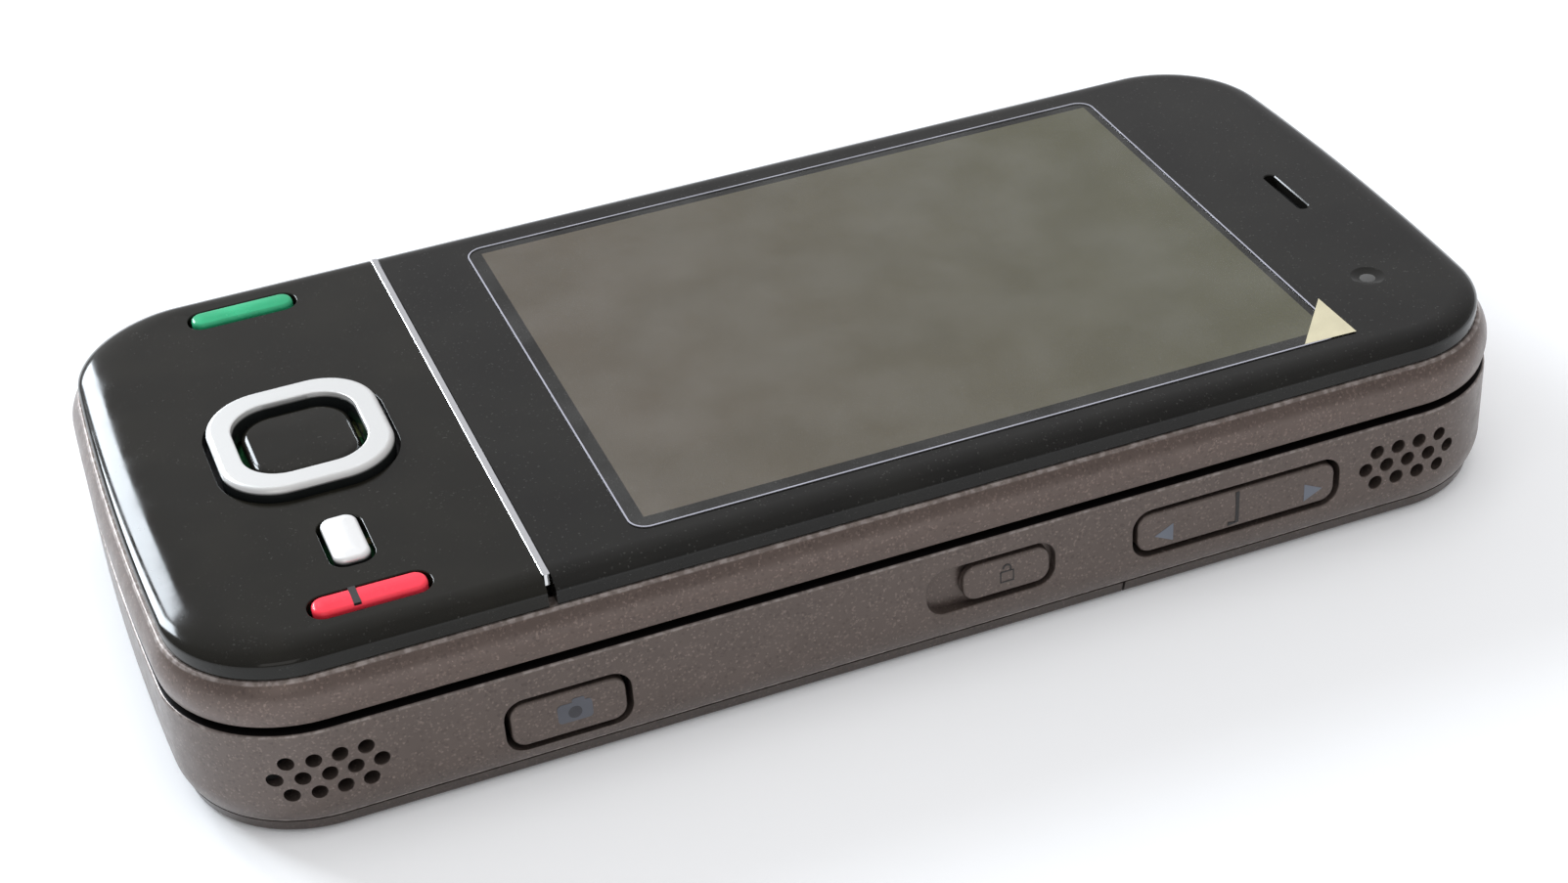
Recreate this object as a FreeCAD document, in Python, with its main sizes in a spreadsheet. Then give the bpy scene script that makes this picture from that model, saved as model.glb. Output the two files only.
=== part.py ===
import FreeCAD, Part
import math
import os
import re
import Sketcher
from FreeCAD import Rotation, Vector

# Slider phone, in millimetres, lying on its back.
# +X is the phone's right side, +Y runs towards the earpiece and +Z comes out of the screen.
# The origin is under the middle of the back.

doc = FreeCAD.newDocument("slider_phone")
sheet = doc.addObject("Spreadsheet::Sheet", "Sizes")

# Driving sizes, each with one meaning
SIZES = {
    # Outline shared by both halves
    "phone_width": 50.0,
    "phone_length": 103.0,
    "corner_radius": 9.75,
    "end_radius": 285.0,
    # Heights of the stacked casings
    "cover_top": 1.25,
    "cover_plate": 0.9,
    "cover_wall": 1.5,
    "seam_gap": 0.1,
    "rim_top": 9.1,
    "halves_gap": 0.6,
    "panel_split": 13.1,
    "panel_gap": 0.05,
    "panel_height": 2.0,
    # How far each casing line lies inside the widest outline
    "back_inset": 1.5,
    "heel_inset": 0.85,
    "seam_inset": 0.55,
    "rim_inset": 0.2,
    "frame_foot_inset": 0.3,
    "frame_rim_inset": 0.8,
    "panel_inset": 0.95,
    "panel_bow": 1.95,
    # Lower casing
    "housing_wall": 1.7,
    "housing_heel": 1.35,
    "housing_bow": 3.05,
    "heel_rise": 0.35,
    "ledge_depth": 1.1,
    "ledge_width": 0.5,
    "deck_thickness": 0.9,
    "fit_gap": 0.1,
    "running_gap": 0.3,
    # Battery, its cover and its well
    "boss_clearance": 0.45,
    "battery_length": 48.0,
    "battery_height": 4.2,
    "battery_end_gap": 3.8,
    "battery_corner": 0.8,
    "battery_cover_gap": 0.5,
    "battery_top_gap": 0.15,
    "battery_gap": 0.35,
    "well_wall": 0.5,
    "well_floor": 0.4,
    "cover_end_gap": 34.5,
    "cover_end_clearance": 0.2,
    "rib_width": 1.0,
    "rib_length": 10.0,
    "rib_height": 0.3,
    "rib_pitch": 12.0,
    "rib_end_gap": 2.0,
    # Boards and the sheet of domes
    "board_side_gap": 3.8,
    "board_end_gap": 4.5,
    "board_gap": 0.05,
    "board_thickness": 0.7,
    "board_corner": 3.0,
    "sheet_thickness": 0.1,
    "dome_height": 0.15,
    "dome_radius": 2.2,
    "sheet_inset": 2.0,
    # Number keys, and the four keys for music
    "key_length": 6.2,
    "key_spacing": 0.8,
    "keypad_side_gap": 4.0,
    "keypad_end_gap": 18.1,
    "key_corner": 0.9,
    "key_bevel": 0.3,
    "key_play": 0.45,
    "key_proud": 0.4,
    "key_flange": 0.25,
    "key_gap": 0.12,
    "key_flange_height": 0.25,
    "foot_corner": 0.4,
    "media_length": 6.0,
    "media_side_gap": 4.6,
    "media_end_gap": 8.3,
    # Slide rail
    "open_travel": 33.0,
    "media_travel": 15.0,
    "rail_length": 34.0,
    "rail_neck_width": 27.4,
    "rail_width": 34.0,
    "rail_foot_gap": 0.8,
    "rail_thickness": 0.5,
    "rail_corner": 1.2,
    "glide_width": 0.5,
    "glide_end_gap": 2.0,
    "notch_radius": 0.8,
    "notch_depth": 0.25,
    "cable_slot_width": 15.0,
    "cable_slot_length": 7.0,
    "track_thickness": 0.5,
    "track_side_gap": 1.1,
    "track_wall": 0.6,
    "track_corner": 0.6,
    "track_screw_side": 3.0,
    "track_screw_end": 5.0,
    "throat_gap": 0.5,
    "lip_bottom_gap": 0.05,
    "lip_thickness": 0.45,
    "spring_thickness": 0.2,
    "spring_length": 12.0,
    # Upper casing
    "frame_floor": 0.5,
    "frame_tray_inset": 2.0,
    "frame_heel": 0.5,
    "frame_bow": 1.7,
    "frame_shoulder": 0.6,
    "panel_wall": 0.9,
    "panel_skirt": 1.45,
    "divider_end_gap": 26.3,
    "divider_width": 0.5,
    # Display, film and what sits above them
    "display_side_gap": 3.5,
    "display_end_gap": 13.4,
    "display_divider_gap": 6.3,
    "display_height": 1.6,
    "display_lift": 0.02,
    "film_side_inset": 0.55,
    "film_end_inset": 1.0,
    "film_radius": 1.4,
    "film_thickness": 0.1,
    "film_shift": 0.5,
    "tab_width": 5.2,
    "tab_length": 4.2,
    "tab_proud": 1.0,
    "tab_side_proud": 0.2,
    "earpiece_x": 0.6,
    "earpiece_end_gap": 7.9,
    "earpiece_width": 9.0,
    "earpiece_length": 4.5,
    "earpiece_slot": 6.0,
    "earpiece_slot_width": 0.9,
    "front_camera_x": 14.65,
    "front_camera_end_gap": 9.0,
    "front_camera_radius": 1.3,
    "front_camera_size": 5.0,
    "front_camera_height": 0.9,
    "front_camera_wall": 0.4,
    "dimple_depth": 0.25,
    # Direction pad and the keys round it
    "pad_end_gap": 15.0,
    "dome_gap": 0.45,
    "rocker_thickness": 0.4,
    "rocker_margin": 1.0,
    "ring_width": 13.4,
    "ring_length": 12.6,
    "ring_radius": 4.4,
    "ring_hole_width": 9.3,
    "ring_hole_length": 9.1,
    "ring_hole_radius": 3.0,
    "ring_proud": 0.9,
    "select_width": 8.3,
    "select_length": 8.0,
    "select_radius": 2.6,
    "select_proud": 0.35,
    "multimedia_call_gap": 6.7,
    "multimedia_width": 5.4,
    "multimedia_length": 2.6,
    "multimedia_proud": 0.5,
    "call_side_gap": 5.0,
    "call_width": 2.0,
    "call_length": 7.9,
    "call_proud": 0.3,
    "front_flange": 0.5,
    "front_key_radius": 0.9,
    "front_bevel": 0.3,
    "upper_board_side": 3.25,
    "upper_board_length": 20.5,
    "upper_board_corner": 1.5,
    "upper_board_shift": 0.5,
    # Keys in the side walls
    "side_key_inset": 0.05,
    "side_key_gap": 0.4,
    "side_key_flange": 0.5,
    "side_bevel": 0.3,
    "camera_key_end_gap": 26.2,
    "camera_key_z": 4.6,
    "camera_key_length": 8.3,
    "camera_key_height": 3.6,
    "side_key_radius": 1.1,
    "lock_volume_gap": 18.5,
    "lock_z": 5.5,
    "lock_length": 6.8,
    "lock_height": 3.0,
    "lock_travel": 2.4,
    "lock_recess": 0.8,
    "lock_seat_gap": 0.2,
    "lock_stem_length": 3.4,
    "lock_stem_width": 1.0,
    "lock_foot_width": 2.6,
    "lock_foot_thickness": 0.5,
    "volume_end_gap": 25.5,
    "volume_z": 5.4,
    "volume_length": 16.2,
    "volume_height": 3.3,
    # Sound holes
    "sound_hole_radius": 0.55,
    "sound_pitch": 1.78,
    "sound_row_pitch": 1.35,
    "sound_z": 5.4,
    "low_sound_end_gap": 9.6,
    "high_sound_end_gap": 11.2,
    "speaker_length": 7.6,
    "speaker_height": 4.4,
    "speaker_depth": 2.3,
    "speaker_gap": 1.3,
    "speaker_drop": 0.4,
    # Top end
    "jack_side_gap": 13.0,
    "jack_z": 4.3,
    "jack_bore_radius": 1.75,
    "jack_wall": 0.8,
    "jack_length": 13.5,
    "jack_sunk": 0.6,
    "end_bow_room": 2.0,
    "usb_side_gap": 13.8,
    "usb_z": 4.4,
    "usb_width": 7.4,
    "usb_height": 2.5,
    "usb_depth": 5.2,
    "usb_sunk": 0.9,
    "usb_wall": 0.35,
    "usb_back_wall": 0.6,
    "usb_tongue_gap": 1.0,
    "usb_tongue_height": 0.6,
    "power_key_length": 7.0,
    "power_key_height": 2.2,
    "power_key_z": 5.0,
    "power_key_sunk": 0.15,
    # Left side: memory card
    "card_door_end_gap": 24.9,
    "card_door_z": 4.6,
    "card_door_length": 12.6,
    "card_door_height": 3.2,
    "card_door_thickness": 0.9,
    "hinge_radius": 0.4,
    "hinge_room": 0.3,
    "hinge_depth": 0.5,
    "card_socket_depth": 14.0,
    "card_socket_height": 1.6,
    "card_slot_height": 0.9,
    "card_socket_gap": 0.4,
    "card_socket_wall": 0.3,
    # Camera on the back
    "camera_end_gap": 16.0,
    "lens_radius": 3.0,
    "lens_cover_width": 17.0,
    "lens_cover_length": 11.4,
    "lens_cover_thickness": 0.5,
    "lens_cover_radius": 1.2,
    "lens_cover_lift": 0.05,
    "groove_width": 0.5,
    "groove_depth": 0.2,
    "groove_pitch": 1.0,
    "groove_first": 1.6,
    "groove_end_gap": 2.0,
    "lens_cover_travel": 11.5,
    "lens_track_depth": 0.75,
    "lens_track_floor": 0.6,
    "lens_pan_wall": 1.0,
    "lens_pan_corner": 1.0,
    "camera_size": 9.0,
    "camera_barrel_height": 1.1,
    "lens_barrel_wall": 0.5,
    # Screws
    "screw_radius": 0.6,
    "screw_head_radius": 1.0,
    "screw_head_height": 0.5,
    "boss_radius": 1.9,
    "screw_gap": 0.03,
    "boss_inset": 3.3,
    "boss_rise": 1.7,
    "boss_camera_gap": 9.3,
    "boss_volume_gap": 12.0,
    # SIM holder, vibration motor and switches
    "sim_width": 26.0,
    "sim_length": 12.6,
    "sim_height": 1.5,
    "sim_wall": 0.3,
    "sim_gap": 0.7,
    "motor_radius": 1.9,
    "motor_length": 6.5,
    "motor_x": 9.0,
    "motor_gap": 4.95,
    "motor_shaft_radius": 0.3,
    "motor_weight_gap": 0.7,
    "motor_weight_length": 2.4,
    "switch_width": 3.2,
    "switch_height": 2.6,
    "switch_gap": 1.9,
    "switch_pitch": 10.0,
    # Corners of small blocks, and how far a cutting shape runs past what it cuts
    "small_corner": 0.5,
    "cut_past": 1.0,
}

for row, (alias, size) in enumerate(SIZES.items(), start=1):
    sheet.set(f"A{row}", alias)
    sheet.set(f"B{row}", str(size))
    sheet.setAlias(f"B{row}", alias)
doc.recompute()

# Levels and half sizes that follow from the driving sizes
FORMULAS = {
    "housing_foot": "(cover_top + seam_gap)",
    "deck_seat": "(rim_top - ledge_depth)",
    "deck_top": "(rim_top - ledge_depth + deck_thickness)",
    "frame_foot": "(rim_top + halves_gap)",
    "panel_foot": "(panel_split + panel_gap)",
    "panel_top": "(panel_split + panel_height)",
    "panel_ceiling": "(panel_split + panel_height - panel_wall)",
    "half_width": "(phone_width / 2)",
    "half_length": "(phone_length / 2)",
    "battery_foot": "(cover_plate + battery_cover_gap)",
    "well_top": "(battery_foot + battery_height + battery_top_gap + well_floor)",
    "board_foot": "(well_top + board_gap)",
    "sheet_foot": "(board_foot + board_thickness)",
    "boss_foot": "(housing_foot + boss_rise)",
    "rail_foot": "(frame_foot + rail_foot_gap)",
    "rail_centre": "((open_travel - media_travel) / 2)",
    "track_web": "(rail_foot + rail_thickness + running_gap)",
    "track_top": "(track_web + track_thickness)",
    "track_half_width": "(rail_width / 2 + glide_width + track_side_gap)",
    "track_half_length": "((rail_length + open_travel + media_travel) / 2 + running_gap)",
    "frame_top_floor": "(track_top + frame_floor)",
    "key_stack_top": "(frame_top_floor + board_thickness)",
    "boss_x": "(half_width - boss_inset)",
    "battery_width": "(2 * (boss_x - boss_radius - boss_clearance - well_wall - battery_gap))",
    "battery_y": "(battery_length / 2 + housing_wall + battery_end_gap - half_length)",
    "board_width": "(phone_width - 2 * (housing_wall + board_side_gap))",
    "board_length": "(phone_length - 2 * board_end_gap)",
    "key_pitch_x": "((phone_width - 2 * keypad_side_gap) / 3)",
    "key_pitch_y": "(key_length + key_spacing)",
    "key_width": "(key_pitch_x - key_spacing)",
    "key_rows_y": "(keypad_end_gap - half_length)",
    "media_pitch": "((phone_width - 2 * media_side_gap) / 4)",
    "media_width": "(media_pitch - key_spacing)",
    "media_y": "(half_length - media_end_gap)",
    "cover_end_y": "(half_length - cover_end_gap)",
    "camera_y": "(half_length - camera_end_gap)",
    "sim_y": "(battery_y + battery_length / 2 + battery_gap + well_wall + sim_gap + sim_length / 2)",
    "card_socket_end": "(card_socket_depth + housing_wall + card_socket_gap - half_width)",
    "sim_x": "(card_socket_end + sim_gap + sim_width / 2)",
    "jack_x": "(jack_side_gap - half_width)",
    "usb_x": "(half_width - usb_side_gap)",
    "motor_y": "(sim_y + sim_length / 2 + motor_gap + motor_radius)",
    "divider_y": "(divider_end_gap - half_length)",
    "pad_y": "(pad_end_gap - half_length)",
    "call_x": "(half_width - call_side_gap)",
    "multimedia_x": "(call_x - multimedia_call_gap)",
    "display_low": "(divider_y + display_divider_gap)",
    "display_high": "(half_length - display_end_gap)",
    "display_width": "(phone_width - 2 * display_side_gap)",
    "display_length": "(display_high - display_low)",
    "display_y": "((display_high + display_low) / 2)",
    "film_width": "(display_width - 2 * film_side_inset)",
    "film_length": "(display_length - 2 * film_end_inset)",
    "film_y": "(display_y - film_shift)",
    "earpiece_y": "(half_length - earpiece_end_gap)",
    "front_camera_y": "(half_length - front_camera_end_gap)",
    "camera_key_y": "(camera_key_end_gap - half_length)",
    "volume_y": "(half_length - volume_end_gap)",
    "lock_y": "(volume_y - lock_volume_gap)",
    "boss_low_y": "(camera_key_y + boss_camera_gap)",
    "boss_high_y": "(volume_y - boss_volume_gap)",
    "low_sound_y": "(low_sound_end_gap - half_length)",
    "high_sound_y": "(half_length - high_sound_end_gap)",
    "card_door_y": "(half_length - card_door_end_gap)",
}

WORD = re.compile(r"[a-z][a-z0-9_]*")
UP = Rotation()
TO_RIGHT = Rotation(Vector(1, 1, 1), 120)
TO_LEFT = Rotation(Vector(0, 0, 1), 180) * Rotation(Vector(1, 1, 1), 120)
TO_EARPIECE = Rotation(Vector(1, 0, 0), -90)

NODES = []


def full(text):
    """Spell a formula of plain names out as an expression that reads the sheet."""
    def spell(match):
        word = match.group(0)
        if word in FORMULAS:
            return full(FORMULAS[word])
        return "Sizes." + word if word in SIZES else word
    return WORD.sub(spell, str(text))


def number(text):
    """Value of a formula at the sheet's present sizes."""
    return float(sheet.evalExpression(full(text)))


def bind(thing, prop, text):
    """Tie one property of an object to a formula."""
    thing.setExpression(prop, full(text))


def place(thing, x="0", y="0", z="0", turn=UP):
    """Turn an object and tie its position to three formulas."""
    thing.Placement = FreeCAD.Placement(Vector(), turn)
    for axis, text in zip("xyz", (x, y, z)):
        bind(thing, f"Placement.Base.{axis}", text)


def node(thing, label):
    """Give a finished sub-part its own name and list it for export."""
    thing.Label = label
    NODES.append(thing)
    return thing


def new_sketch(name, body=None):
    """Sketch in the document, or on a body's own XY plane."""
    if body is None:
        return doc.addObject("Sketcher::SketchObject", name)
    sketch = body.newObject("Sketcher::SketchObject", name)
    plane = next(item for item in body.Origin.OriginFeatures if item.Role == "XY_Plane")
    sketch.AttachmentSupport = [(plane, "")]
    sketch.MapMode = "FlatFace"
    return sketch


def fix_size(sketch, name, constraint, text):
    """Add a dimension to a sketch and tie it to a formula."""
    index = sketch.addConstraint(constraint)
    sketch.renameConstraint(index, name)
    bind(sketch, f"Constraints.{name}", text)


def join_ends(sketch, edges):
    """Join a closed run of edges end to start, each tangent to the next."""
    for first, second in zip(edges, edges[1:] + edges[:1]):
        sketch.addConstraint(Sketcher.Constraint("Tangent", first, 2, second, 1))


def arc(x, y, radius, start, end):
    """Circular arc between two angles in degrees."""
    circle = Part.Circle(Vector(x, y, 0), Vector(0, 0, 1), radius)
    return Part.ArcOfCircle(circle, math.radians(start), math.radians(end))


def line(x1, y1, x2, y2):
    return Part.LineSegment(Vector(x1, y1, 0), Vector(x2, y2, 0))


def rounded_rectangle(name, width, length, radius, body=None):
    """Centred rectangle with round corners."""
    sketch = new_sketch(name, body)
    round_ = number(radius)
    x = number(width) / 2 - round_
    y = number(length) / 2 - round_
    corners = [(x, y, 0), (-x, y, 90), (-x, -y, 180), (x, -y, 270)]
    for cx, cy, start in corners:
        sketch.addGeometry(arc(cx, cy, round_, start, start + 90))
    sketch.addGeometry(line(x, y + round_, -x, y + round_))
    sketch.addGeometry(line(-x - round_, y, -x - round_, -y))
    sketch.addGeometry(line(-x, -y - round_, x, -y - round_))
    sketch.addGeometry(line(x + round_, -y, x + round_, y))
    join_ends(sketch, [0, 4, 1, 5, 2, 6, 3, 7])
    for edge, way in ((4, "Horizontal"), (5, "Vertical"), (6, "Horizontal"), (7, "Vertical")):
        sketch.addConstraint(Sketcher.Constraint(way, edge))
    for edge in (1, 2, 3):
        sketch.addConstraint(Sketcher.Constraint("Equal", 0, edge))
    sketch.addConstraint(Sketcher.Constraint("Symmetric", 0, 3, 2, 3, -1, 1))
    fix_size(sketch, "radius", Sketcher.Constraint("Radius", 0, round_), radius)
    fix_size(sketch, "width", Sketcher.Constraint("DistanceX", 5, 1, 7, 1, number(width)), width)
    fix_size(sketch, "length", Sketcher.Constraint("DistanceY", 6, 1, 4, 1, number(length)), length)
    return sketch


def clipped_rectangle(name, width, length, corner, body=None):
    """Centred rectangle with its corners cut off at 45 degrees."""
    sketch = new_sketch(name, body)
    clip = number(corner)
    x = number(width) / 2
    y = number(length) / 2
    points = [(x, clip - y), (x, y - clip), (x - clip, y), (clip - x, y),
              (-x, y - clip), (-x, clip - y), (clip - x, -y), (x - clip, -y)]
    for start, end in zip(points, points[1:] + points[:1]):
        sketch.addGeometry(line(*start, *end))
    for edge in range(8):
        sketch.addConstraint(Sketcher.Constraint("Coincident", edge, 2, (edge + 1) % 8, 1))
    for edge in (0, 2):
        for end in (1, 2):
            sketch.addConstraint(Sketcher.Constraint("Symmetric", edge, end, edge + 4, end, -1, 1))
    sketch.addConstraint(Sketcher.Constraint("Symmetric", 0, 1, 0, 2, -1))
    sketch.addConstraint(Sketcher.Constraint("Symmetric", 2, 1, 2, 2, -2))
    fix_size(sketch, "width", Sketcher.Constraint("DistanceX", 4, 1, 0, 1, 2 * x), width)
    fix_size(sketch, "length", Sketcher.Constraint("DistanceY", 6, 1, 2, 1, 2 * y), length)
    fix_size(sketch, "corner_x", Sketcher.Constraint("DistanceX", 1, 2, 1, 1, clip), corner)
    fix_size(sketch, "corner_y", Sketcher.Constraint("DistanceY", 1, 1, 1, 2, clip), corner)
    return sketch


def phone_outline(name, inset, body=None):
    """Outline of the casings: straight sides, bowed ends and tangent corners, drawn in by inset."""
    sketch = new_sketch(name, body)
    side = number(f"half_width - {inset}")
    corner = number(f"corner_radius - {inset}")
    bow = number(f"end_radius - {inset}")
    bow_centre = number("end_radius - half_length")
    corner_x = side - corner
    corner_y = math.sqrt((bow - corner) ** 2 - corner_x ** 2) - bow_centre
    swing = math.degrees(math.atan2(corner_y + bow_centre, corner_x))
    sketch.addGeometry(line(side, -corner_y, side, corner_y))
    sketch.addGeometry(arc(corner_x, corner_y, corner, 0, swing))
    sketch.addGeometry(arc(0, -bow_centre, bow, swing, 180 - swing))
    sketch.addGeometry(arc(-corner_x, corner_y, corner, 180 - swing, 180))
    sketch.addGeometry(line(-side, corner_y, -side, -corner_y))
    sketch.addGeometry(arc(-corner_x, -corner_y, corner, 180, 180 + swing))
    sketch.addGeometry(arc(0, bow_centre, bow, 180 + swing, 360 - swing))
    sketch.addGeometry(arc(corner_x, -corner_y, corner, 360 - swing, 360))
    join_ends(sketch, list(range(8)))
    for edge in (0, 4):
        sketch.addConstraint(Sketcher.Constraint("Vertical", edge))
    for edge in (3, 5, 7):
        sketch.addConstraint(Sketcher.Constraint("Equal", 1, edge))
    sketch.addConstraint(Sketcher.Constraint("Equal", 2, 6))
    sketch.addConstraint(Sketcher.Constraint("PointOnObject", 2, 3, -2))
    sketch.addConstraint(Sketcher.Constraint("Symmetric", 2, 3, 6, 3, -1, 1))
    fix_size(sketch, "corner", Sketcher.Constraint("Radius", 1, corner), f"corner_radius - {inset}")
    fix_size(sketch, "bow", Sketcher.Constraint("Radius", 2, bow), f"end_radius - {inset}")
    fix_size(sketch, "reach", Sketcher.Constraint("DistanceY", 2, 3, -1, 1, bow_centre),
             "end_radius - half_length")
    fix_size(sketch, "right", Sketcher.Constraint("DistanceX", -1, 1, 0, 1, side),
             f"half_width - {inset}")
    fix_size(sketch, "left", Sketcher.Constraint("DistanceX", 4, 1, -1, 1, side),
             f"half_width - {inset}")
    return sketch


def extrude(name, outline, height):
    """Solid that stands on a sketch, along the sketch's normal."""
    solid = doc.addObject("Part::Extrusion", name)
    solid.Base = outline
    solid.DirMode = "Normal"
    solid.Solid = True
    bind(solid, "LengthFwd", height)
    return solid


def prism(name, width, length, radius, height, x="0", y="0", z="0", turn=UP):
    """Round-cornered block whose foot is centred on a point."""
    outline = rounded_rectangle(name + "_outline", width, length, radius)
    place(outline, x, y, z, turn)
    return extrude(name, outline, height)


def block(name, width, length, corner, height, x="0", y="0", z="0", turn=UP):
    """Block with clipped corners whose foot is centred on a point."""
    outline = clipped_rectangle(name + "_outline", width, length, corner)
    place(outline, x, y, z, turn)
    return extrude(name, outline, height)


def slab(name, inset, foot, height):
    """Flat piece in the phone's outline."""
    outline = phone_outline(name + "_outline", inset)
    place(outline, z=foot)
    return extrude(name, outline, height)


def skin(name, levels):
    """Solid through the phone's outline at each pair of height and inset."""
    sections = []
    for index, (height, inset) in enumerate(levels):
        section = phone_outline(f"{name}_level_{index}", inset)
        place(section, z=height)
        sections.append(section)
    solid = doc.addObject("Part::Loft", name)
    solid.Sections = sections
    solid.Solid = True
    solid.Ruled = True
    return solid


def box(name, width, length, height, x="0", y="0", z="0"):
    """Square block whose foot is centred on a point."""
    solid = doc.addObject("Part::Box", name)
    bind(solid, "Length", width)
    bind(solid, "Width", length)
    bind(solid, "Height", height)
    place(solid, f"{x} - ({width}) / 2", f"{y} - ({length}) / 2", z)
    return solid


def rod(name, radius, height, x="0", y="0", z="0", turn=UP):
    """Cylinder that stands on a point."""
    solid = doc.addObject("Part::Cylinder", name)
    bind(solid, "Radius", radius)
    bind(solid, "Height", height)
    place(solid, x, y, z, turn)
    return solid


def stud(name, radius, height, x="0", y="0", z="0", turn=UP):
    """Eight-sided peg or hole, for small round pieces that repeat."""
    solid = doc.addObject("Part::Prism", name)
    solid.Polygon = 8
    bind(solid, "Circumradius", radius)
    bind(solid, "Height", height)
    place(solid, x, y, z, turn)
    return solid


def group(name, pieces):
    """Separate solids kept together."""
    compound = doc.addObject("Part::Compound", name)
    compound.Links = pieces
    return compound


def fuse(name, pieces):
    """Overlapping or touching solids made into one."""
    fusion = doc.addObject("Part::MultiFuse", name)
    fusion.Shapes = pieces
    fusion.Refine = True
    return fusion


def cut(name, base, tools):
    """Base with every tool taken out of it."""
    difference = doc.addObject("Part::Cut", name)
    difference.Base = base
    difference.Tool = tools[0] if len(tools) == 1 else group(name + "_tools", tools)
    return difference


def top_face(feature):
    """Name of a feature's highest face, in the body's own frame."""
    heights = [face.CenterOfMass.z for face in feature.Shape.Faces]
    return f"Face{heights.index(max(heights)) + 1}"


def pad_on(body, name, outline, height):
    """Pad a sketch of a body upwards."""
    pad = body.newObject("PartDesign::Pad", name)
    pad.Profile = outline
    bind(pad, "Length", height)
    doc.recompute()
    return pad


def key_body(label, outline, width, length, corner, height, bevel, foot, x, y, z, turn=UP):
    """Key with a bevelled crown and a wider foot, given as width and length, that keeps it in place."""
    body = doc.addObject("PartDesign::Body", label)
    cap = pad_on(body, label + "_cap", outline(label + "_cap_outline", width, length, corner, body), height)
    crown = body.newObject("PartDesign::Chamfer", label + "_crown")
    crown.Base = (cap, [top_face(cap)])
    bind(crown, "Size", bevel)
    doc.recompute()
    body.Tip = crown
    if foot:
        foot_outline = clipped_rectangle(label + "_foot_outline", foot[0], foot[1], "foot_corner", body)
        body.Tip = pad_on(body, label + "_foot", foot_outline, "key_flange_height")
    place(body, x, y, z, turn)
    return node(body, label)


# Lower casing

def sound_holes(name, middle_y):
    """Thirteen holes through the right wall, in rows of four, five and four."""
    holes = []
    for row, count in ((1, 4), (0, 5), (-1, 4)):
        for place_in_row in range(count):
            step = place_in_row - (count - 1) / 2
            holes.append(stud(f"{name}_{row + 1}_{place_in_row}", "sound_hole_radius",
                              "housing_wall + 2 * cut_past", "half_width - housing_wall - cut_past",
                              f"{middle_y} + {step} * sound_pitch",
                              f"sound_z + {row} * sound_row_pitch", TO_RIGHT))
    return holes


def flange(width, length, reach="key_flange"):
    """Foot that reaches past a key's cap on every side."""
    return (f"{width} + 2 * {reach}", f"{length} + 2 * {reach}")


def right_opening(name, length, height, y, z):
    """Opening through the right wall for a key, with an even gap all round."""
    return prism(name, f"{length} + 2 * side_key_gap", f"{height} + 2 * side_key_gap",
                 "side_key_radius + side_key_gap", "housing_wall + 2 * cut_past",
                 "half_width - housing_wall - cut_past", y, z, TO_RIGHT)


def boss_places():
    """Corners of the rectangle on which the casing screws stand."""
    return [(side, y) for side in ("boss_x", "-boss_x") for y in ("boss_low_y", "boss_high_y")]


def lower_housing():
    """Moulded side band of the lower half, open above and below, with every opening in its walls."""
    wall = skin("housing_skin", [
        ("housing_foot", "seam_inset"),
        ("housing_foot + housing_heel", "seam_inset / 3"),
        ("housing_foot + housing_bow", "0"),
        ("rim_top - rim_inset", "0"),
        ("rim_top", "rim_inset"),
    ])
    well = slab("housing_well", "housing_wall", "housing_foot - cut_past",
                "deck_seat - housing_foot + cut_past")
    seat = slab("housing_seat", "(housing_wall - ledge_width)", "deck_seat", "ledge_depth + cut_past")
    ring = cut("housing_ring", wall, [fuse("housing_room", [well, seat])])
    bosses = [stud(f"boss_{index}", "boss_radius", "deck_seat - boss_foot", x, y, "boss_foot")
              for index, (x, y) in enumerate(boss_places())]
    solid = fuse("housing_with_bosses", [ring] + bosses)
    openings = sound_holes("low_sound", "low_sound_y") + sound_holes("high_sound", "high_sound_y")
    openings.append(right_opening("camera_key_opening", "camera_key_length", "camera_key_height",
                                  "camera_key_y", "camera_key_z"))
    openings.append(right_opening("volume_opening", "volume_length", "volume_height",
                                  "volume_y", "volume_z"))
    openings.append(lock_opening())
    openings += top_openings()
    openings.append(block("card_door_opening", "card_door_length + 2 * side_key_gap + 2 * hinge_radius",
                          "card_door_height + 2 * running_gap", "small_corner", "housing_wall + 2 * cut_past",
                          "-(half_width - housing_wall - cut_past)", "card_door_y - hinge_radius",
                          "card_door_z", TO_LEFT))
    openings += [stud(f"boss_hole_{index}", "screw_radius + screw_gap", "deck_seat", x, y, "0")
                 for index, (x, y) in enumerate(boss_places())]
    node(cut("housing_cut", solid, openings), "lower_housing")


def lock_opening():
    """Shallow recess for the lock slider, with a slot through the wall for its stem."""
    middle = "lock_y - lock_travel / 2"
    recess = prism("lock_recess_cut", "lock_length + lock_travel + 2 * side_key_gap",
                   "lock_height + 2 * side_key_gap", "side_key_radius + side_key_gap",
                   "lock_recess + cut_past", "half_width - lock_recess", middle, "lock_z", TO_RIGHT)
    slot = block("lock_slot_cut", "lock_stem_length + lock_travel + 2 * running_gap",
                 "lock_stem_width + 2 * running_gap", "foot_corner", "housing_wall + cut_past",
                 "half_width - housing_wall - cut_past / 2", middle, "lock_z", TO_RIGHT)
    return fuse("lock_opening", [recess, slot])


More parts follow.
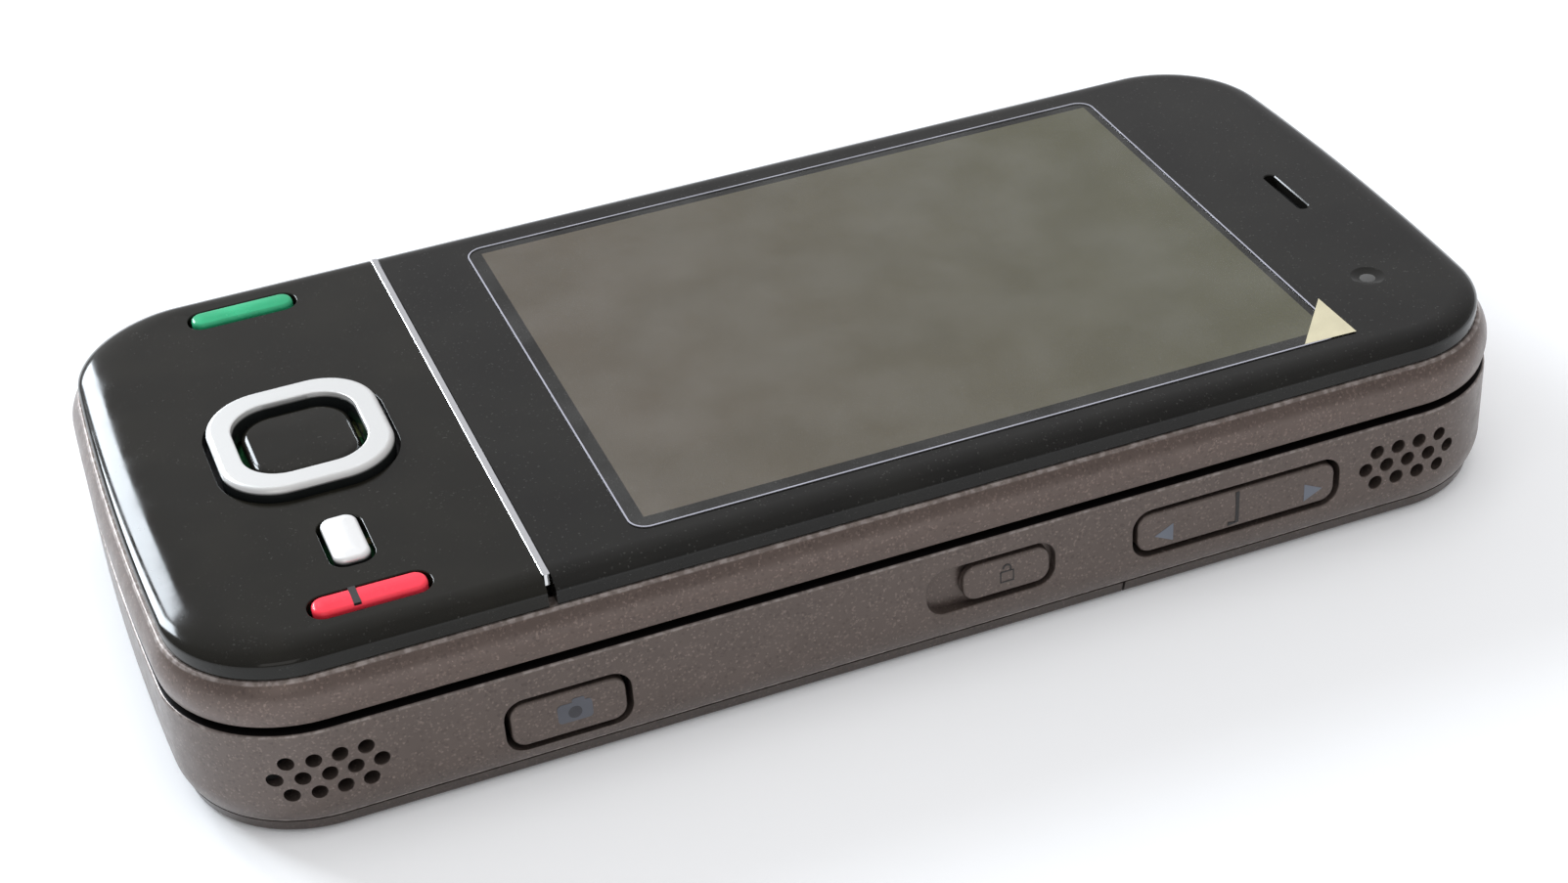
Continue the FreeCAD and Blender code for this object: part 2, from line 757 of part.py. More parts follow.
def top_openings():
    """Openings in the top end for the headphone jack, the data socket and the power key."""
    depth = "(housing_wall + end_bow_room)"
    foot = f"half_length - {depth}"
    height = f"{depth} + cut_past"
    jack = rod("jack_opening", "jack_bore_radius + jack_wall + fit_gap / 2", height, "jack_x", foot,
               "jack_z", TO_EARPIECE)
    usb = block("usb_opening", "usb_width + fit_gap", "usb_height + fit_gap", "small_corner", height,
                "usb_x", foot, "usb_z", TO_EARPIECE)
    power_opening = block("power_key_opening", "power_key_length + 2 * running_gap",
                          "power_key_height + 2 * running_gap", "small_corner", height, "0", foot,
                          "power_key_z", TO_EARPIECE)
    return [jack, usb, power_opening]


def number_key_places():
    """Name and centre of each number key, from the top row down."""
    names = ["1", "2", "3", "4", "5", "6", "7", "8", "9", "star", "0", "hash"]
    for index, name in enumerate(names):
        row, column = divmod(index, 3)
        yield (f"key_{name}", f"{column - 1} * key_pitch_x", f"key_rows_y + {1.5 - row} * key_pitch_y")


def media_key_places():
    """Name and centre of each key for music, from left to right."""
    names = ["rewind", "play", "stop", "forward"]
    for index, name in enumerate(names):
        yield (f"media_key_{name}", f"{index - 1.5} * media_pitch", "media_y")


def keypads():
    """Top deck of the lower half and the keys that stand through it."""
    openings = []
    key_foot = "deck_seat - key_play"
    key_height = "deck_top + key_proud - deck_seat + key_play"
    pads = (("key_width", "key_length", number_key_places()),
            ("media_width", "media_length", media_key_places()))
    for width, length, places in pads:
        for name, x, y in places:
            openings.append(block(name + "_opening", f"{width} + 2 * key_gap", f"{length} + 2 * key_gap",
                                  "key_corner", "deck_thickness + 2 * cut_past", x, y,
                                  "deck_seat - cut_past"))
            key_body(name, clipped_rectangle, width, length, "key_corner", key_height, "key_bevel",
                     flange(width, length), x, y, key_foot)
    openings += [stud(f"deck_hole_{index}", "screw_radius + screw_gap", "deck_thickness / 2", x, y,
                      "deck_seat") for index, (x, y) in enumerate(boss_places())]
    deck = slab("deck_slab", "(housing_wall - ledge_width + fit_gap)", "deck_seat", "deck_thickness")
    node(cut("deck_cut", deck, openings), "keypad_deck")


def dome_sheet():
    """Two thin sheets on the board, with one low dome under each key."""
    number_pad = block("number_sheet", "3 * key_pitch_x - 2 * sheet_inset", "4 * key_pitch_y",
                       "sheet_inset", "sheet_thickness", "0", "key_rows_y", "sheet_foot")
    media_pad = block("media_sheet", "4 * media_pitch - 2 * sheet_inset", "media_length", "sheet_inset",
                      "sheet_thickness", "0", "media_y", "sheet_foot")
    sheets = {"number": [number_pad], "media": [media_pad]}
    for kind, places in (("number", number_key_places()), ("media", media_key_places())):
        for name, x, y in places:
            sheets[kind].append(stud(name + "_dome", "dome_radius", "dome_height", x, y,
                                     "sheet_foot + sheet_thickness"))
    pads = [fuse(kind + "_domes", pieces) for kind, pieces in sheets.items()]
    node(group("domes", pads), "dome_sheet")


def back_skin(name):
    """Shallow dish with a turned-up rim that closes the back."""
    dish = skin(name + "_skin", [
        ("0", "back_inset"),
        ("heel_rise / 3", "(back_inset + heel_inset) / 2"),
        ("heel_rise", "heel_inset"),
        ("cover_top", "seam_inset"),
    ])
    hollow = slab(name + "_hollow", "cover_wall", "cover_plate", "cover_top")
    return cut(name + "_dish", dish, [hollow])


def beside(name, edge_y, way, foot):
    """Everything of a casing that lies past a line across it, towards the given end."""
    return box(name, "phone_width + 2 * cut_past", "phone_length", "phone_width", "0",
               f"{edge_y} + {way} * phone_length / 2", foot)


def back_cover():
    """Battery cover: the dish below the seam, with stiffening ribs under its upper edge."""
    shell = cut("cover_shell", back_skin("cover"), [beside("beyond_cover", "cover_end_y", 1, "-cut_past")])
    ribs = [box(f"cover_rib_{index}", "rib_width", "rib_length", "rib_height", f"{index - 1} * rib_pitch",
                "cover_end_y - rib_end_gap - rib_length / 2", "cover_plate") for index in range(3)]
    node(fuse("cover_with_ribs", [shell] + ribs), "back_cover")


def rear_panel():
    """Fixed part of the back, with the track of the lens cover and the camera's window."""
    shell = cut("rear_shell", back_skin("rear"),
                [beside("below_panel", "cover_end_y + cover_end_clearance", -1, "-cut_past")])
    track_width = "lens_cover_width + lens_cover_travel + 2 * running_gap"
    track_length = "lens_cover_length + 2 * running_gap"
    pan_foot = "lens_track_floor / 2"
    pan = block("lens_pan", f"{track_width} + lens_pan_wall", f"{track_length} + lens_pan_wall",
                "lens_pan_corner", f"lens_track_depth + lens_track_floor - {pan_foot}",
                "lens_cover_travel / 2", "camera_y", pan_foot)
    solid = fuse("rear_with_pan", [shell, pan])
    track = prism("lens_track", track_width, track_length, "lens_cover_radius + running_gap",
                  "lens_track_depth + cut_past", "lens_cover_travel / 2", "camera_y", "-cut_past")
    window = rod("lens_window", "lens_radius + fit_gap / 2", "lens_track_depth + 2 * cut_past", "0",
                 "camera_y", "0")
    node(cut("rear_cut", solid, [fuse("rear_openings", [track, window])]), "rear_panel")


def lens_cover():
    """Sliding cover over the camera, with three grip grooves cut into its face."""
    plate = prism("lens_plate", "lens_cover_width", "lens_cover_length", "lens_cover_radius",
                  "lens_cover_thickness", "0", "camera_y", "lens_cover_lift")
    grooves = [box(f"lens_groove_{index}", "groove_width", "lens_cover_length - 2 * groove_end_gap",
                   "2 * groove_depth",
                   f"lens_cover_width / 2 - groove_first - {index} * groove_pitch", "camera_y",
                   "lens_cover_lift - groove_depth") for index in range(3)]
    node(cut("lens_plate_cut", plate, grooves), "lens_cover")


def rear_camera():
    """Camera behind the window: square body, barrel and the glass in the window."""
    floor_top = "(lens_track_depth + lens_track_floor)"
    barrel = rod("camera_barrel", "lens_radius + lens_barrel_wall", "camera_barrel_height", "0",
                 "camera_y", floor_top)
    block_foot = f"({floor_top} + camera_barrel_height)"
    body = block("camera_block", "camera_size", "camera_size", "small_corner", f"board_foot - {block_foot}",
                 "0", "camera_y", block_foot)
    node(fuse("camera", [barrel, body]), "camera_module")
    node(rod("camera_glass", "lens_radius", "lens_track_floor - fit_gap", "0", "camera_y",
             "lens_track_depth + fit_gap"), "camera_lens")


# Inside the lower half

def power():
    """Battery, the frame it lies in and the holder for the SIM card beside it."""
    node(block("battery_block", "battery_width", "battery_length", "battery_corner", "battery_height", "0",
               "battery_y", "battery_foot"), "battery")
    room_width = "battery_width + 2 * battery_gap"
    room_length = "battery_length + 2 * battery_gap"
    outer = block("well_outer", f"{room_width} + 2 * well_wall", f"{room_length} + 2 * well_wall",
                  "battery_corner", "well_top - battery_foot", "0", "battery_y", "battery_foot")
    inner = block("well_inner", room_width, room_length, "battery_corner",
                  "well_top - well_floor - battery_foot + cut_past", "0", "battery_y",
                  "battery_foot - cut_past")
    node(cut("well_cut", outer, [inner]), "battery_frame")
    tray = box("sim_tray", "sim_width", "sim_length", "sim_height", "sim_x", "sim_y",
               "board_foot - sim_height")
    slot = box("sim_slot", "sim_width - 2 * sim_wall", "sim_length", "sim_height - 2 * sim_wall",
               "sim_x", "sim_y - sim_wall", "board_foot - sim_height + sim_wall")
    node(cut("sim_cut", tray, [slot]), "sim_holder")


def main_board():
    """Printed board, notched round the headphone jack."""
    board = block("board_blank", "board_width", "board_length", "board_corner", "board_thickness",
                  z="board_foot")
    notch = box("jack_notch", "2 * (jack_bore_radius + jack_wall + running_gap)",
                "jack_length + 2 * cut_past", "board_thickness + 2 * cut_past", "jack_x",
                "half_length - jack_length / 2", "board_foot - cut_past")
    node(cut("board_cut", board, [notch]), "main_board")


def speakers():
    """A loudspeaker behind each group of sound holes."""
    units = []
    for name, middle_y in (("low", "low_sound_y"), ("high", "high_sound_y")):
        units.append(block(f"{name}_speaker", "speaker_length", "speaker_height", "small_corner",
                           "speaker_depth", "half_width - housing_wall - speaker_gap - speaker_depth",
                           middle_y, "sound_z - speaker_drop", TO_RIGHT))
    node(group("speaker_pair", units), "loudspeakers")


def vibration_motor():
    """Small motor can with an off-centre weight on its shaft."""
    z = "board_foot - motor_radius - fit_gap"
    can = rod("motor_can", "motor_radius", "motor_length", "motor_x", "motor_y", z, TO_RIGHT)
    shaft = stud("motor_shaft", "motor_shaft_radius", "motor_weight_gap + motor_weight_length",
                 "motor_x + motor_length", "motor_y", z, TO_RIGHT)
    weight_x = "motor_x + motor_length + motor_weight_gap"
    disc = stud("motor_disc", "motor_radius", "motor_weight_length", weight_x, "motor_y", z, TO_RIGHT)
    upper_part = box("motor_disc_cut", "motor_weight_length", "2 * motor_radius + cut_past",
                     "2 * motor_radius",
                     f"{weight_x} + motor_weight_length / 2", "motor_y", f"{z} + motor_shaft_radius / 2")
    node(fuse("motor", [can, shaft, cut("motor_weight", disc, [upper_part])]), "vibration_motor")


def top_sockets():
    """Headphone jack and data socket in the top end."""
    jack_foot = "half_length - jack_sunk - jack_length"
    barrel = rod("jack_barrel", "jack_bore_radius + jack_wall", "jack_length", "jack_x", jack_foot,
                 "jack_z", TO_EARPIECE)
    bore = rod("jack_bore", "jack_bore_radius", "jack_length", "jack_x", f"{jack_foot} + jack_wall",
               "jack_z", TO_EARPIECE)
    node(cut("jack_cut", barrel, [bore]), "headphone_jack")
    usb_foot = "half_length - usb_sunk - usb_depth"
    shell = block("usb_shell", "usb_width", "usb_height", "small_corner", "usb_depth", "usb_x", usb_foot,
                  "usb_z", TO_EARPIECE)
    hollow = block("usb_hollow", "usb_width - 2 * usb_wall", "usb_height - 2 * usb_wall",
                   "small_corner - usb_wall / 2", "usb_depth", "usb_x", f"{usb_foot} + usb_back_wall",
                   "usb_z", TO_EARPIECE)
    tongue = box("usb_tongue", "usb_width - 2 * usb_tongue_gap", "usb_depth - usb_tongue_gap",
                 "usb_tongue_height", "usb_x", f"{usb_foot} + (usb_depth - usb_tongue_gap) / 2", "usb_z")
    node(fuse("usb", [cut("usb_cut", shell, [hollow]), tongue]), "usb_socket")


def card_slot():
    """Memory card socket under the board and the flap that closes its mouth."""
    x = "card_socket_end - card_socket_depth / 2"
    width = "card_door_length - 2 * card_socket_wall"
    socket = box("card_block", "card_socket_depth", width, "card_socket_height", x, "card_door_y",
                 "board_foot - card_socket_height")
    mouth = box("card_mouth", "card_socket_depth", f"{width} - 2 * card_socket_wall", "card_slot_height",
                f"{x} - cut_past", "card_door_y", "board_foot - card_socket_height + card_socket_wall")
    node(cut("card_cut", socket, [mouth]), "card_socket")
    door_y = "card_door_y + hinge_room"
    plate = block("door_plate", "card_door_length", "card_door_height", "foot_corner",
                  "card_door_thickness", "-(half_width - side_key_inset - card_door_thickness)", door_y,
                  "card_door_z", TO_LEFT)
    barrel = stud("door_barrel", "hinge_radius", "card_door_height", "-(half_width - hinge_depth)",
                  f"{door_y} - card_door_length / 2 - hinge_radius / 2",
                  "card_door_z - card_door_height / 2")
    node(fuse("door", [plate, barrel]), "memory_card_door")


def side_switches():
    """Small switches on the board's right edge, one behind each side key."""
    switches = []
    edge = "board_width / 2"
    reach = "half_width - housing_wall - switch_gap"
    places = ("camera_key_y", "lock_y", "volume_y - switch_pitch / 2", "volume_y + switch_pitch / 2")
    for index, y in enumerate(places):
        switches.append(box(f"switch_{index}", f"{reach} - {edge}", "switch_width", "switch_height",
                            f"({reach} + {edge}) / 2", y, "board_foot + board_thickness - switch_height"))
    node(group("switches", switches), "side_switches")


def casing_screws():
    """Four screws through the bosses into the keypad deck."""
    screws = []
    for index, (x, y) in enumerate(boss_places()):
        head = stud(f"screw_head_{index}", "screw_head_radius", "screw_head_height", x, y,
                    "boss_foot - screw_head_height")
        shaft = stud(f"screw_shaft_{index}", "screw_radius", "deck_seat + deck_thickness / 2 - boss_foot",
                     x, y, "boss_foot")
        screws.append(fuse(f"screw_{index}", [head, shaft]))
    node(group("screws", screws), "casing_screws")


# Slide rail

def rail():
    """Winged rail on the lower half: a neck that stands on the deck and wings that the track grips."""
    neck = block("rail_neck", "rail_neck_width", "rail_length", "rail_corner",
                 "rail_foot + rail_thickness - deck_top", "0", "rail_centre", "deck_top")
    wings = block("rail_wings", "rail_width", "rail_length", "rail_corner", "rail_thickness", "0",
                  "rail_centre", "rail_foot")
    slot = block("cable_slot", "cable_slot_width", "cable_slot_length", "rail_corner",
                 "rail_foot + rail_thickness - deck_top + 2 * cut_past", "0", "rail_centre",
                 "deck_top - cut_past")
    node(cut("rail_cut", fuse("rail_blank", [neck, wings]), [slot]), "rail_plate")
    glides = []
    for name, sign in (("right", "1"), ("left", "-1")):
        strip = box(f"{name}_glide", "glide_width", "rail_length - 2 * glide_end_gap", "rail_thickness",
                    f"{sign} * (rail_width / 2 + glide_width / 2)", "rail_centre", "rail_foot")
        notch = rod(f"{name}_notch", "notch_radius", "rail_thickness + 2 * cut_past",
                    f"{sign} * (rail_width / 2 + glide_width + notch_radius - notch_depth)",
                    "rail_centre", "rail_foot - cut_past")
        glides.append(cut(f"{name}_glide_cut", strip, [notch]))
    node(group("glide_pair", glides), "rail_glides")


def track_screw_places():
    """Where the track is screwed to the upper frame."""
    return [(f"{side} * (track_half_width - track_screw_side)",
             f"{end} * (track_half_length - track_screw_end)")
            for side in (-1, 1) for end in (-1, 1)]


def track():
    """C-shaped track in the upper half: a web, two side walls, and lips turned in under the wings."""
    width = "2 * (track_half_width + track_wall)"
    length = "2 * (track_half_length + track_wall)"
    foot = "(frame_foot + lip_bottom_gap)"
    blank = block("track_block", width, length, "track_corner", f"track_top - {foot}", z=foot)
    room = box("track_room", "2 * track_half_width", "2 * track_half_length",
               f"track_web - {foot} - lip_thickness", z=f"{foot} + lip_thickness")
    throat = box("track_throat", "rail_neck_width + 2 * throat_gap", "2 * track_half_length",
                 "lip_thickness + cut_past", z=f"{foot} - cut_past / 2")
    screw_holes = [stud(f"track_hole_{index}", "screw_radius + screw_gap", "track_thickness + 2 * cut_past",
                        x, y, "track_web - cut_past") for index, (x, y) in enumerate(track_screw_places())]
    hollow = fuse("track_hollow", [room, throat])
    node(cut("track_cut", blank, [hollow] + screw_holes), "slider_track")
    screws = [stud(f"track_screw_{index}", "screw_radius", "track_thickness + frame_floor / 2", x, y,
                   "track_web") for index, (x, y) in enumerate(track_screw_places())]
    node(group("track_screws_group", screws), "track_screws")


def detent_springs():
    """Bowed leaf in each side wall of the track, whose crown rests in the glide's notch."""
    leaves = []
    half = number("spring_length / 2")
    thickness = number("spring_thickness")
    outer = number("track_half_width")
    bow = number("track_side_gap - running_gap / 2 - spring_thickness")
    height = number("rail_thickness")
    foot = number("rail_foot")
    middle = number("rail_centre")
    for sign in (1, -1):
        x = sign * outer
        inner = sign * (outer - bow)
        thin = sign * thickness
        outside = Part.Arc(Vector(x, middle - half, foot), Vector(inner, middle, foot),
                           Vector(x, middle + half, foot)).toShape()
        inside = Part.Arc(Vector(x - thin, middle + half, foot), Vector(inner - thin, middle, foot),
                          Vector(x - thin, middle - half, foot)).toShape()
        ends = [Part.makeLine(Vector(x, middle + half, foot), Vector(x - thin, middle + half, foot)),
                Part.makeLine(Vector(x - thin, middle - half, foot), Vector(x, middle - half, foot))]
        face = Part.Face(Part.Wire([outside, ends[0], inside, ends[1]]))
        leaves.append(face.extrude(Vector(0, 0, height)))
    springs = doc.addObject("Part::Feature", "springs")
    springs.Shape = Part.makeCompound(leaves)
    node(springs, "detent_springs")


# Upper half

def upper_frame():
    """Painted frame of the upper half, with the room for the track below and a tray above."""
    wall = skin("frame_skin", [
        ("frame_foot", "frame_foot_inset"),
        ("frame_foot + frame_heel", "frame_foot_inset / 6"),
        ("frame_foot + frame_bow", "0"),
        ("panel_split - frame_shoulder", "frame_rim_inset / 3"),
        ("panel_split", "frame_rim_inset"),
    ])
    tray = slab("frame_tray", "frame_tray_inset", "frame_top_floor", "panel_top - frame_top_floor")
    room = block("frame_room", "2 * (track_half_width + track_wall + fit_gap)",
                 "2 * (track_half_length + track_wall + fit_gap)", "track_corner",
                 "track_top - frame_foot + cut_past", z="frame_foot - cut_past")
    holes = [stud(f"frame_hole_{index}", "screw_radius + screw_gap", "frame_floor / 2 + fit_gap", x, y,
                  "track_top - fit_gap") for index, (x, y) in enumerate(track_screw_places())]
    node(cut("frame_cut", wall, [tray, fuse("frame_room_and_holes", [room] + holes)]), "upper_frame")


def panel_skin(name):
    """Black front with a bullnose edge, hollow below."""
    crown = skin(name + "_skin", [
        ("panel_foot", "panel_inset"),
        ("panel_top - 0.525 * panel_height", "(panel_inset + 0.04 * panel_bow)"),
        ("panel_top - 0.24 * panel_height", "(panel_inset + 0.23 * panel_bow)"),
        ("panel_top - 0.07 * panel_height", "(panel_inset + 0.57 * panel_bow)"),
        ("panel_top", "(panel_inset + panel_bow)"),
    ])
    hollow = slab(name + "_hollow", "(panel_inset + panel_skirt)", "panel_foot - cut_past",
                  "panel_ceiling - panel_foot + cut_past")
    return cut(name + "_shell", crown, [hollow])


def front_panels():
    """Key panel below the divider strip, the glossy window panel above it, and the strip itself."""
    edge = "(divider_width + fit_gap) / 2"
    shell = cut("key_panel_shell", panel_skin("key_panel"),
                [beside("above_divider", f"divider_y - {edge}", 1, "panel_foot - cut_past")])
    gap = "2 * running_gap"
    foot = "panel_ceiling - cut_past"
    height = "panel_wall + 2 * cut_past"
    holes = [
        prism("ring_opening", f"ring_width + {gap}", f"ring_length + {gap}", "ring_radius + running_gap",
              height, "0", "pad_y", foot),
        prism("multimedia_opening", f"multimedia_width + {gap}", f"multimedia_length + {gap}",
              "front_key_radius + running_gap", height, "multimedia_x", "pad_y", foot),
    ]
    for name, sign in (("call", "-1"), ("end", "1")):
        holes.append(prism(f"{name}_opening", f"call_width + {gap}", f"call_length + {gap}",
                           "front_key_radius + running_gap", height, f"{sign} * call_x", "pad_y", foot))
    node(cut("key_panel_cut", shell, holes), "key_panel")

    window = cut("window_shell", panel_skin("window_panel"),
                 [beside("below_divider", f"divider_y + {edge}", -1, "panel_foot - cut_past")])
    slot = block("earpiece_slot_cut", "earpiece_slot", "earpiece_slot_width", "earpiece_slot_width / 3",
                 height, "earpiece_x", "earpiece_y", foot)
    dimple = rod("front_camera_dimple", "front_camera_radius", "cut_past", "front_camera_x",
                 "front_camera_y", "panel_top - dimple_depth")
    node(cut("window_cut", window, [slot, dimple]), "window_panel")
    node(box("divider_bar", "2 * (half_width - panel_inset - panel_bow)", "divider_width", "panel_wall",
             "0", "divider_y", "panel_top - panel_wall"), "divider_strip")


def display():
    """Display module under the window panel, and the clear film stuck over it with its pull tab."""
    node(block("display_block", "display_width", "display_length", "small_corner", "display_height", "0",
               "display_y", "frame_top_floor + display_lift"), "display_module")
    film = prism("film_blank", "film_width", "film_length", "film_radius", "film_thickness", "0",
                 "film_y", "panel_top")
    corner_x = number("film_width / 2 + tab_side_proud")
    corner_y = number("film_y + film_length / 2 + tab_proud")
    width = number("tab_width")
    length = number("tab_length")
    foot = number("panel_top")
    corners = [Vector(corner_x, corner_y, foot), Vector(corner_x - width, corner_y, foot),
               Vector(corner_x, corner_y - length, foot)]
    tab_face = Part.Face(Part.makePolygon(corners + corners[:1]))
    tab = doc.addObject("Part::Feature", "tab")
    tab.Shape = tab_face.extrude(Vector(0, 0, number("film_thickness")))
    node(fuse("film_and_tab", [film, tab]), "screen_film")


def direction_pad():
    """Rocker plate, the silver ring on it and the select key inside the ring."""
    rocker_foot = "(key_stack_top + dome_gap)"
    rocker = block("rocker_blank", "ring_width + 2 * rocker_margin", "ring_length + 2 * rocker_margin",
                   "ring_radius / 2", "rocker_thickness", "0", "pad_y", rocker_foot)
    rocker_hole = block("rocker_hole", "ring_hole_width", "ring_hole_length", "small_corner",
                        "rocker_thickness + 2 * cut_past", "0", "pad_y", f"{rocker_foot} - cut_past")
    node(cut("rocker_cut", rocker, [rocker_hole]), "navi_rocker")
    ring_foot = f"({rocker_foot} + rocker_thickness + running_gap)"
    ring_height = f"panel_top + ring_proud - {ring_foot}"
    blank = prism("ring_blank", "ring_width", "ring_length", "ring_radius", ring_height, "0", "pad_y",
                  ring_foot)
    hole = prism("ring_hole", "ring_hole_width", "ring_hole_length", "ring_hole_radius",
                 f"{ring_height} + 2 * cut_past", "0", "pad_y", f"{ring_foot} - cut_past")
    node(cut("ring_cut", blank, [hole]), "navi_ring")
    key_body("select_key", rounded_rectangle, "select_width", "select_length", "select_radius",
             "panel_top + select_proud - key_stack_top - dome_gap", "front_bevel", None, "0", "pad_y",
             rocker_foot)


def front_keys():
    """Multimedia, call and end keys."""
    key_foot = "key_stack_top + dome_gap"
    key_body("multimedia_key", rounded_rectangle, "multimedia_width", "multimedia_length",
             "front_key_radius", f"panel_top + multimedia_proud - ({key_foot})", "front_bevel",
             flange("multimedia_width", "multimedia_length", "front_flange"), "multimedia_x", "pad_y",
             key_foot)
    for name, sign in (("call", "-1"), ("end", "1")):
        key_body(f"{name}_key", rounded_rectangle, "call_width", "call_length", "front_key_radius",
                 f"panel_top + call_proud - ({key_foot})", "front_bevel",
                 flange("call_width", "call_length", "front_flange"), f"{sign} * call_x", "pad_y",
                 key_foot)


def upper_electronics():
    """Board under the front keys, the earpiece and the front camera."""
    node(block("upper_board_blank", "phone_width - 2 * upper_board_side", "upper_board_length",
               "upper_board_corner", "board_thickness", "0", "pad_y + upper_board_shift",
               "frame_top_floor"), "upper_board")
    node(block("earpiece_block", "earpiece_width", "earpiece_length", "small_corner",
               "panel_ceiling - frame_top_floor - fit_gap / 2", "earpiece_x",
               "earpiece_y - earpiece_slot_width", "frame_top_floor"), "earpiece")
    base = block("front_camera_base", "front_camera_size", "front_camera_size", "foot_corner",
                 "front_camera_height", "front_camera_x", "front_camera_y", "frame_top_floor")
    barrel = rod("front_camera_barrel", "front_camera_radius + front_camera_wall",
                 "panel_ceiling - frame_top_floor - front_camera_height - fit_gap / 2",
                 "front_camera_x", "front_camera_y", "frame_top_floor + front_camera_height")
    node(fuse("front_camera_pair", [base, barrel]), "front_camera")


# Keys in the walls

def side_keys():
    """Camera key, volume rocker, lock slider and power key."""
    face = "(half_width - side_key_inset)"
    foot = "(half_width - housing_wall - running_gap - key_flange_height)"
    key_body("camera_key", rounded_rectangle, "camera_key_length", "camera_key_height", "side_key_radius",
             f"{face} - {foot}", "side_bevel",
             flange("camera_key_length", "camera_key_height", "side_key_flange"), foot,
             "camera_key_y", "camera_key_z", TO_RIGHT)
    key_body("volume_rocker", rounded_rectangle, "volume_length", "volume_height", "side_key_radius",
             f"{face} - {foot}", "side_bevel",
             ("volume_length / 2", "volume_height + 2 * side_key_flange"), foot, "volume_y",
             "volume_z", TO_RIGHT)
    lock_slider(face)
    power_foot = "(half_length - housing_wall - running_gap - key_flange_height)"
    key_body("power_key", clipped_rectangle, "power_key_length", "power_key_height", "small_corner",
             f"half_length - power_key_sunk - {power_foot}", "side_bevel",
             flange("power_key_length", "power_key_height", "side_key_flange"), "0", power_foot,
             "power_key_z", TO_EARPIECE)


def lock_slider(face):
    """Thumb slide in its recess, with a stem through the slot and a foot behind the wall."""
    seat = "(half_width - lock_recess + lock_seat_gap)"
    cap = prism("lock_cap", "lock_length", "lock_height", "side_key_radius", f"{face} - {seat}", seat,
                "lock_y", "lock_z", TO_RIGHT)
    behind_wall = "(half_width - housing_wall - running_gap)"
    stem = box("lock_stem", f"{seat} - {behind_wall}", "lock_stem_length", "lock_stem_width",
               f"({seat} + {behind_wall}) / 2", "lock_y", "lock_z - lock_stem_width / 2")
    foot = box("lock_foot", "lock_foot_thickness", "lock_stem_length + 2 * side_key_flange",
               "lock_foot_width", f"{behind_wall} - lock_foot_thickness / 2", "lock_y",
               "lock_z - lock_foot_width / 2")
    node(fuse("lock", [cap, stem, foot]), "lock_slider")


lower_housing()
keypads()
dome_sheet()
back_cover()
rear_panel()
lens_cover()
rear_camera()
power()
main_board()
speakers()
vibration_motor()
top_sockets()
card_slot()
side_switches()
casing_screws()
rail()
track()
detent_springs()
upper_frame()
front_panels()
display()
direction_pad()
front_keys()
upper_electronics()
side_keys()

doc.recompute()

faults = [item.Name for item in doc.Objects if "Invalid" in item.State or "Error" in item.State]
if faults:
    raise RuntimeError("not built: " + ", ".join(faults))
for item in NODES:
    if item.Shape.isNull() or not item.Shape.isValid() or item.Shape.Volume <= 0:
        raise RuntimeError("bad solid: " + item.Label)

os.makedirs("parts", exist_ok=True)
for item in NODES:
    item.Shape.exportStep(f"parts/{item.Label}.step")
print(len(NODES), "sub-parts written")
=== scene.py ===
import math

import bmesh
import bpy
from mathutils import Matrix, Vector


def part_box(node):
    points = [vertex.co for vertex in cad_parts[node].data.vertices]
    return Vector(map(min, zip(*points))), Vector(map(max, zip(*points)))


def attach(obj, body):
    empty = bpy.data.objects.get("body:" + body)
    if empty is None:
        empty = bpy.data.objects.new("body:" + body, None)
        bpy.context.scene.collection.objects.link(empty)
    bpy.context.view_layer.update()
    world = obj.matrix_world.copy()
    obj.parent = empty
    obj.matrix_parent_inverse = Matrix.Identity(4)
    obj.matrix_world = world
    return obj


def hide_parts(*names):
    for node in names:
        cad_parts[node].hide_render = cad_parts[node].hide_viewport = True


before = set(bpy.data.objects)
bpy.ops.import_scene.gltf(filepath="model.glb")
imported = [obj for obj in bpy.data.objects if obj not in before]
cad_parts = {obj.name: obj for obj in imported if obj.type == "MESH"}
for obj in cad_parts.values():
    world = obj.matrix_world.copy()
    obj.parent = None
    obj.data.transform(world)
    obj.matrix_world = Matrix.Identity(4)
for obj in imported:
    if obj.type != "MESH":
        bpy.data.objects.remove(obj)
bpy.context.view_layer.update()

# Lengths in this script are millimetres, and each mesh is scaled to metres as it is made.
MM = 0.001

# Outline shared by both halves
HALF_WIDTH = 25.0
HALF_LENGTH = 51.5
CORNER_RADIUS = 9.75
END_RADIUS = 285.0
CORNER_STEPS = 28
END_STEPS = 16

# Levels of the stacked casings
SEAM_Z = 1.35
COVER_PLATE = 0.9
RIM_Z = 9.1
DECK_SEAT = 8.0
FRAME_FOOT = 9.7
TRACK_TOP = 11.8
FRAME_FLOOR = 12.3
SPLIT_Z = 13.1
PANEL_FOOT = 13.15
PANEL_CEILING = 14.2
PANEL_TOP = 15.1

# Walls and gaps
HOUSING_WALL = 1.7
LEDGE_INSET = 1.2
PANEL_INSET = 0.95
PANEL_BOW = 1.95
FOOT_ROLL = 2.2
RUNNING_GAP = 0.3
SIDE_GAP = 0.4
PAST = 1.0

# Places along the phone
COVER_END_Y = 17.0
REAR_GAP = 0.2
DIVIDER_Y = -25.2
DIVIDER_GAP = 0.3
PAD_Y = -36.5
CAMERA_Y = 35.5
DISPLAY_HALF = 19.8
DISPLAY_Y = (-17.2, 35.9)

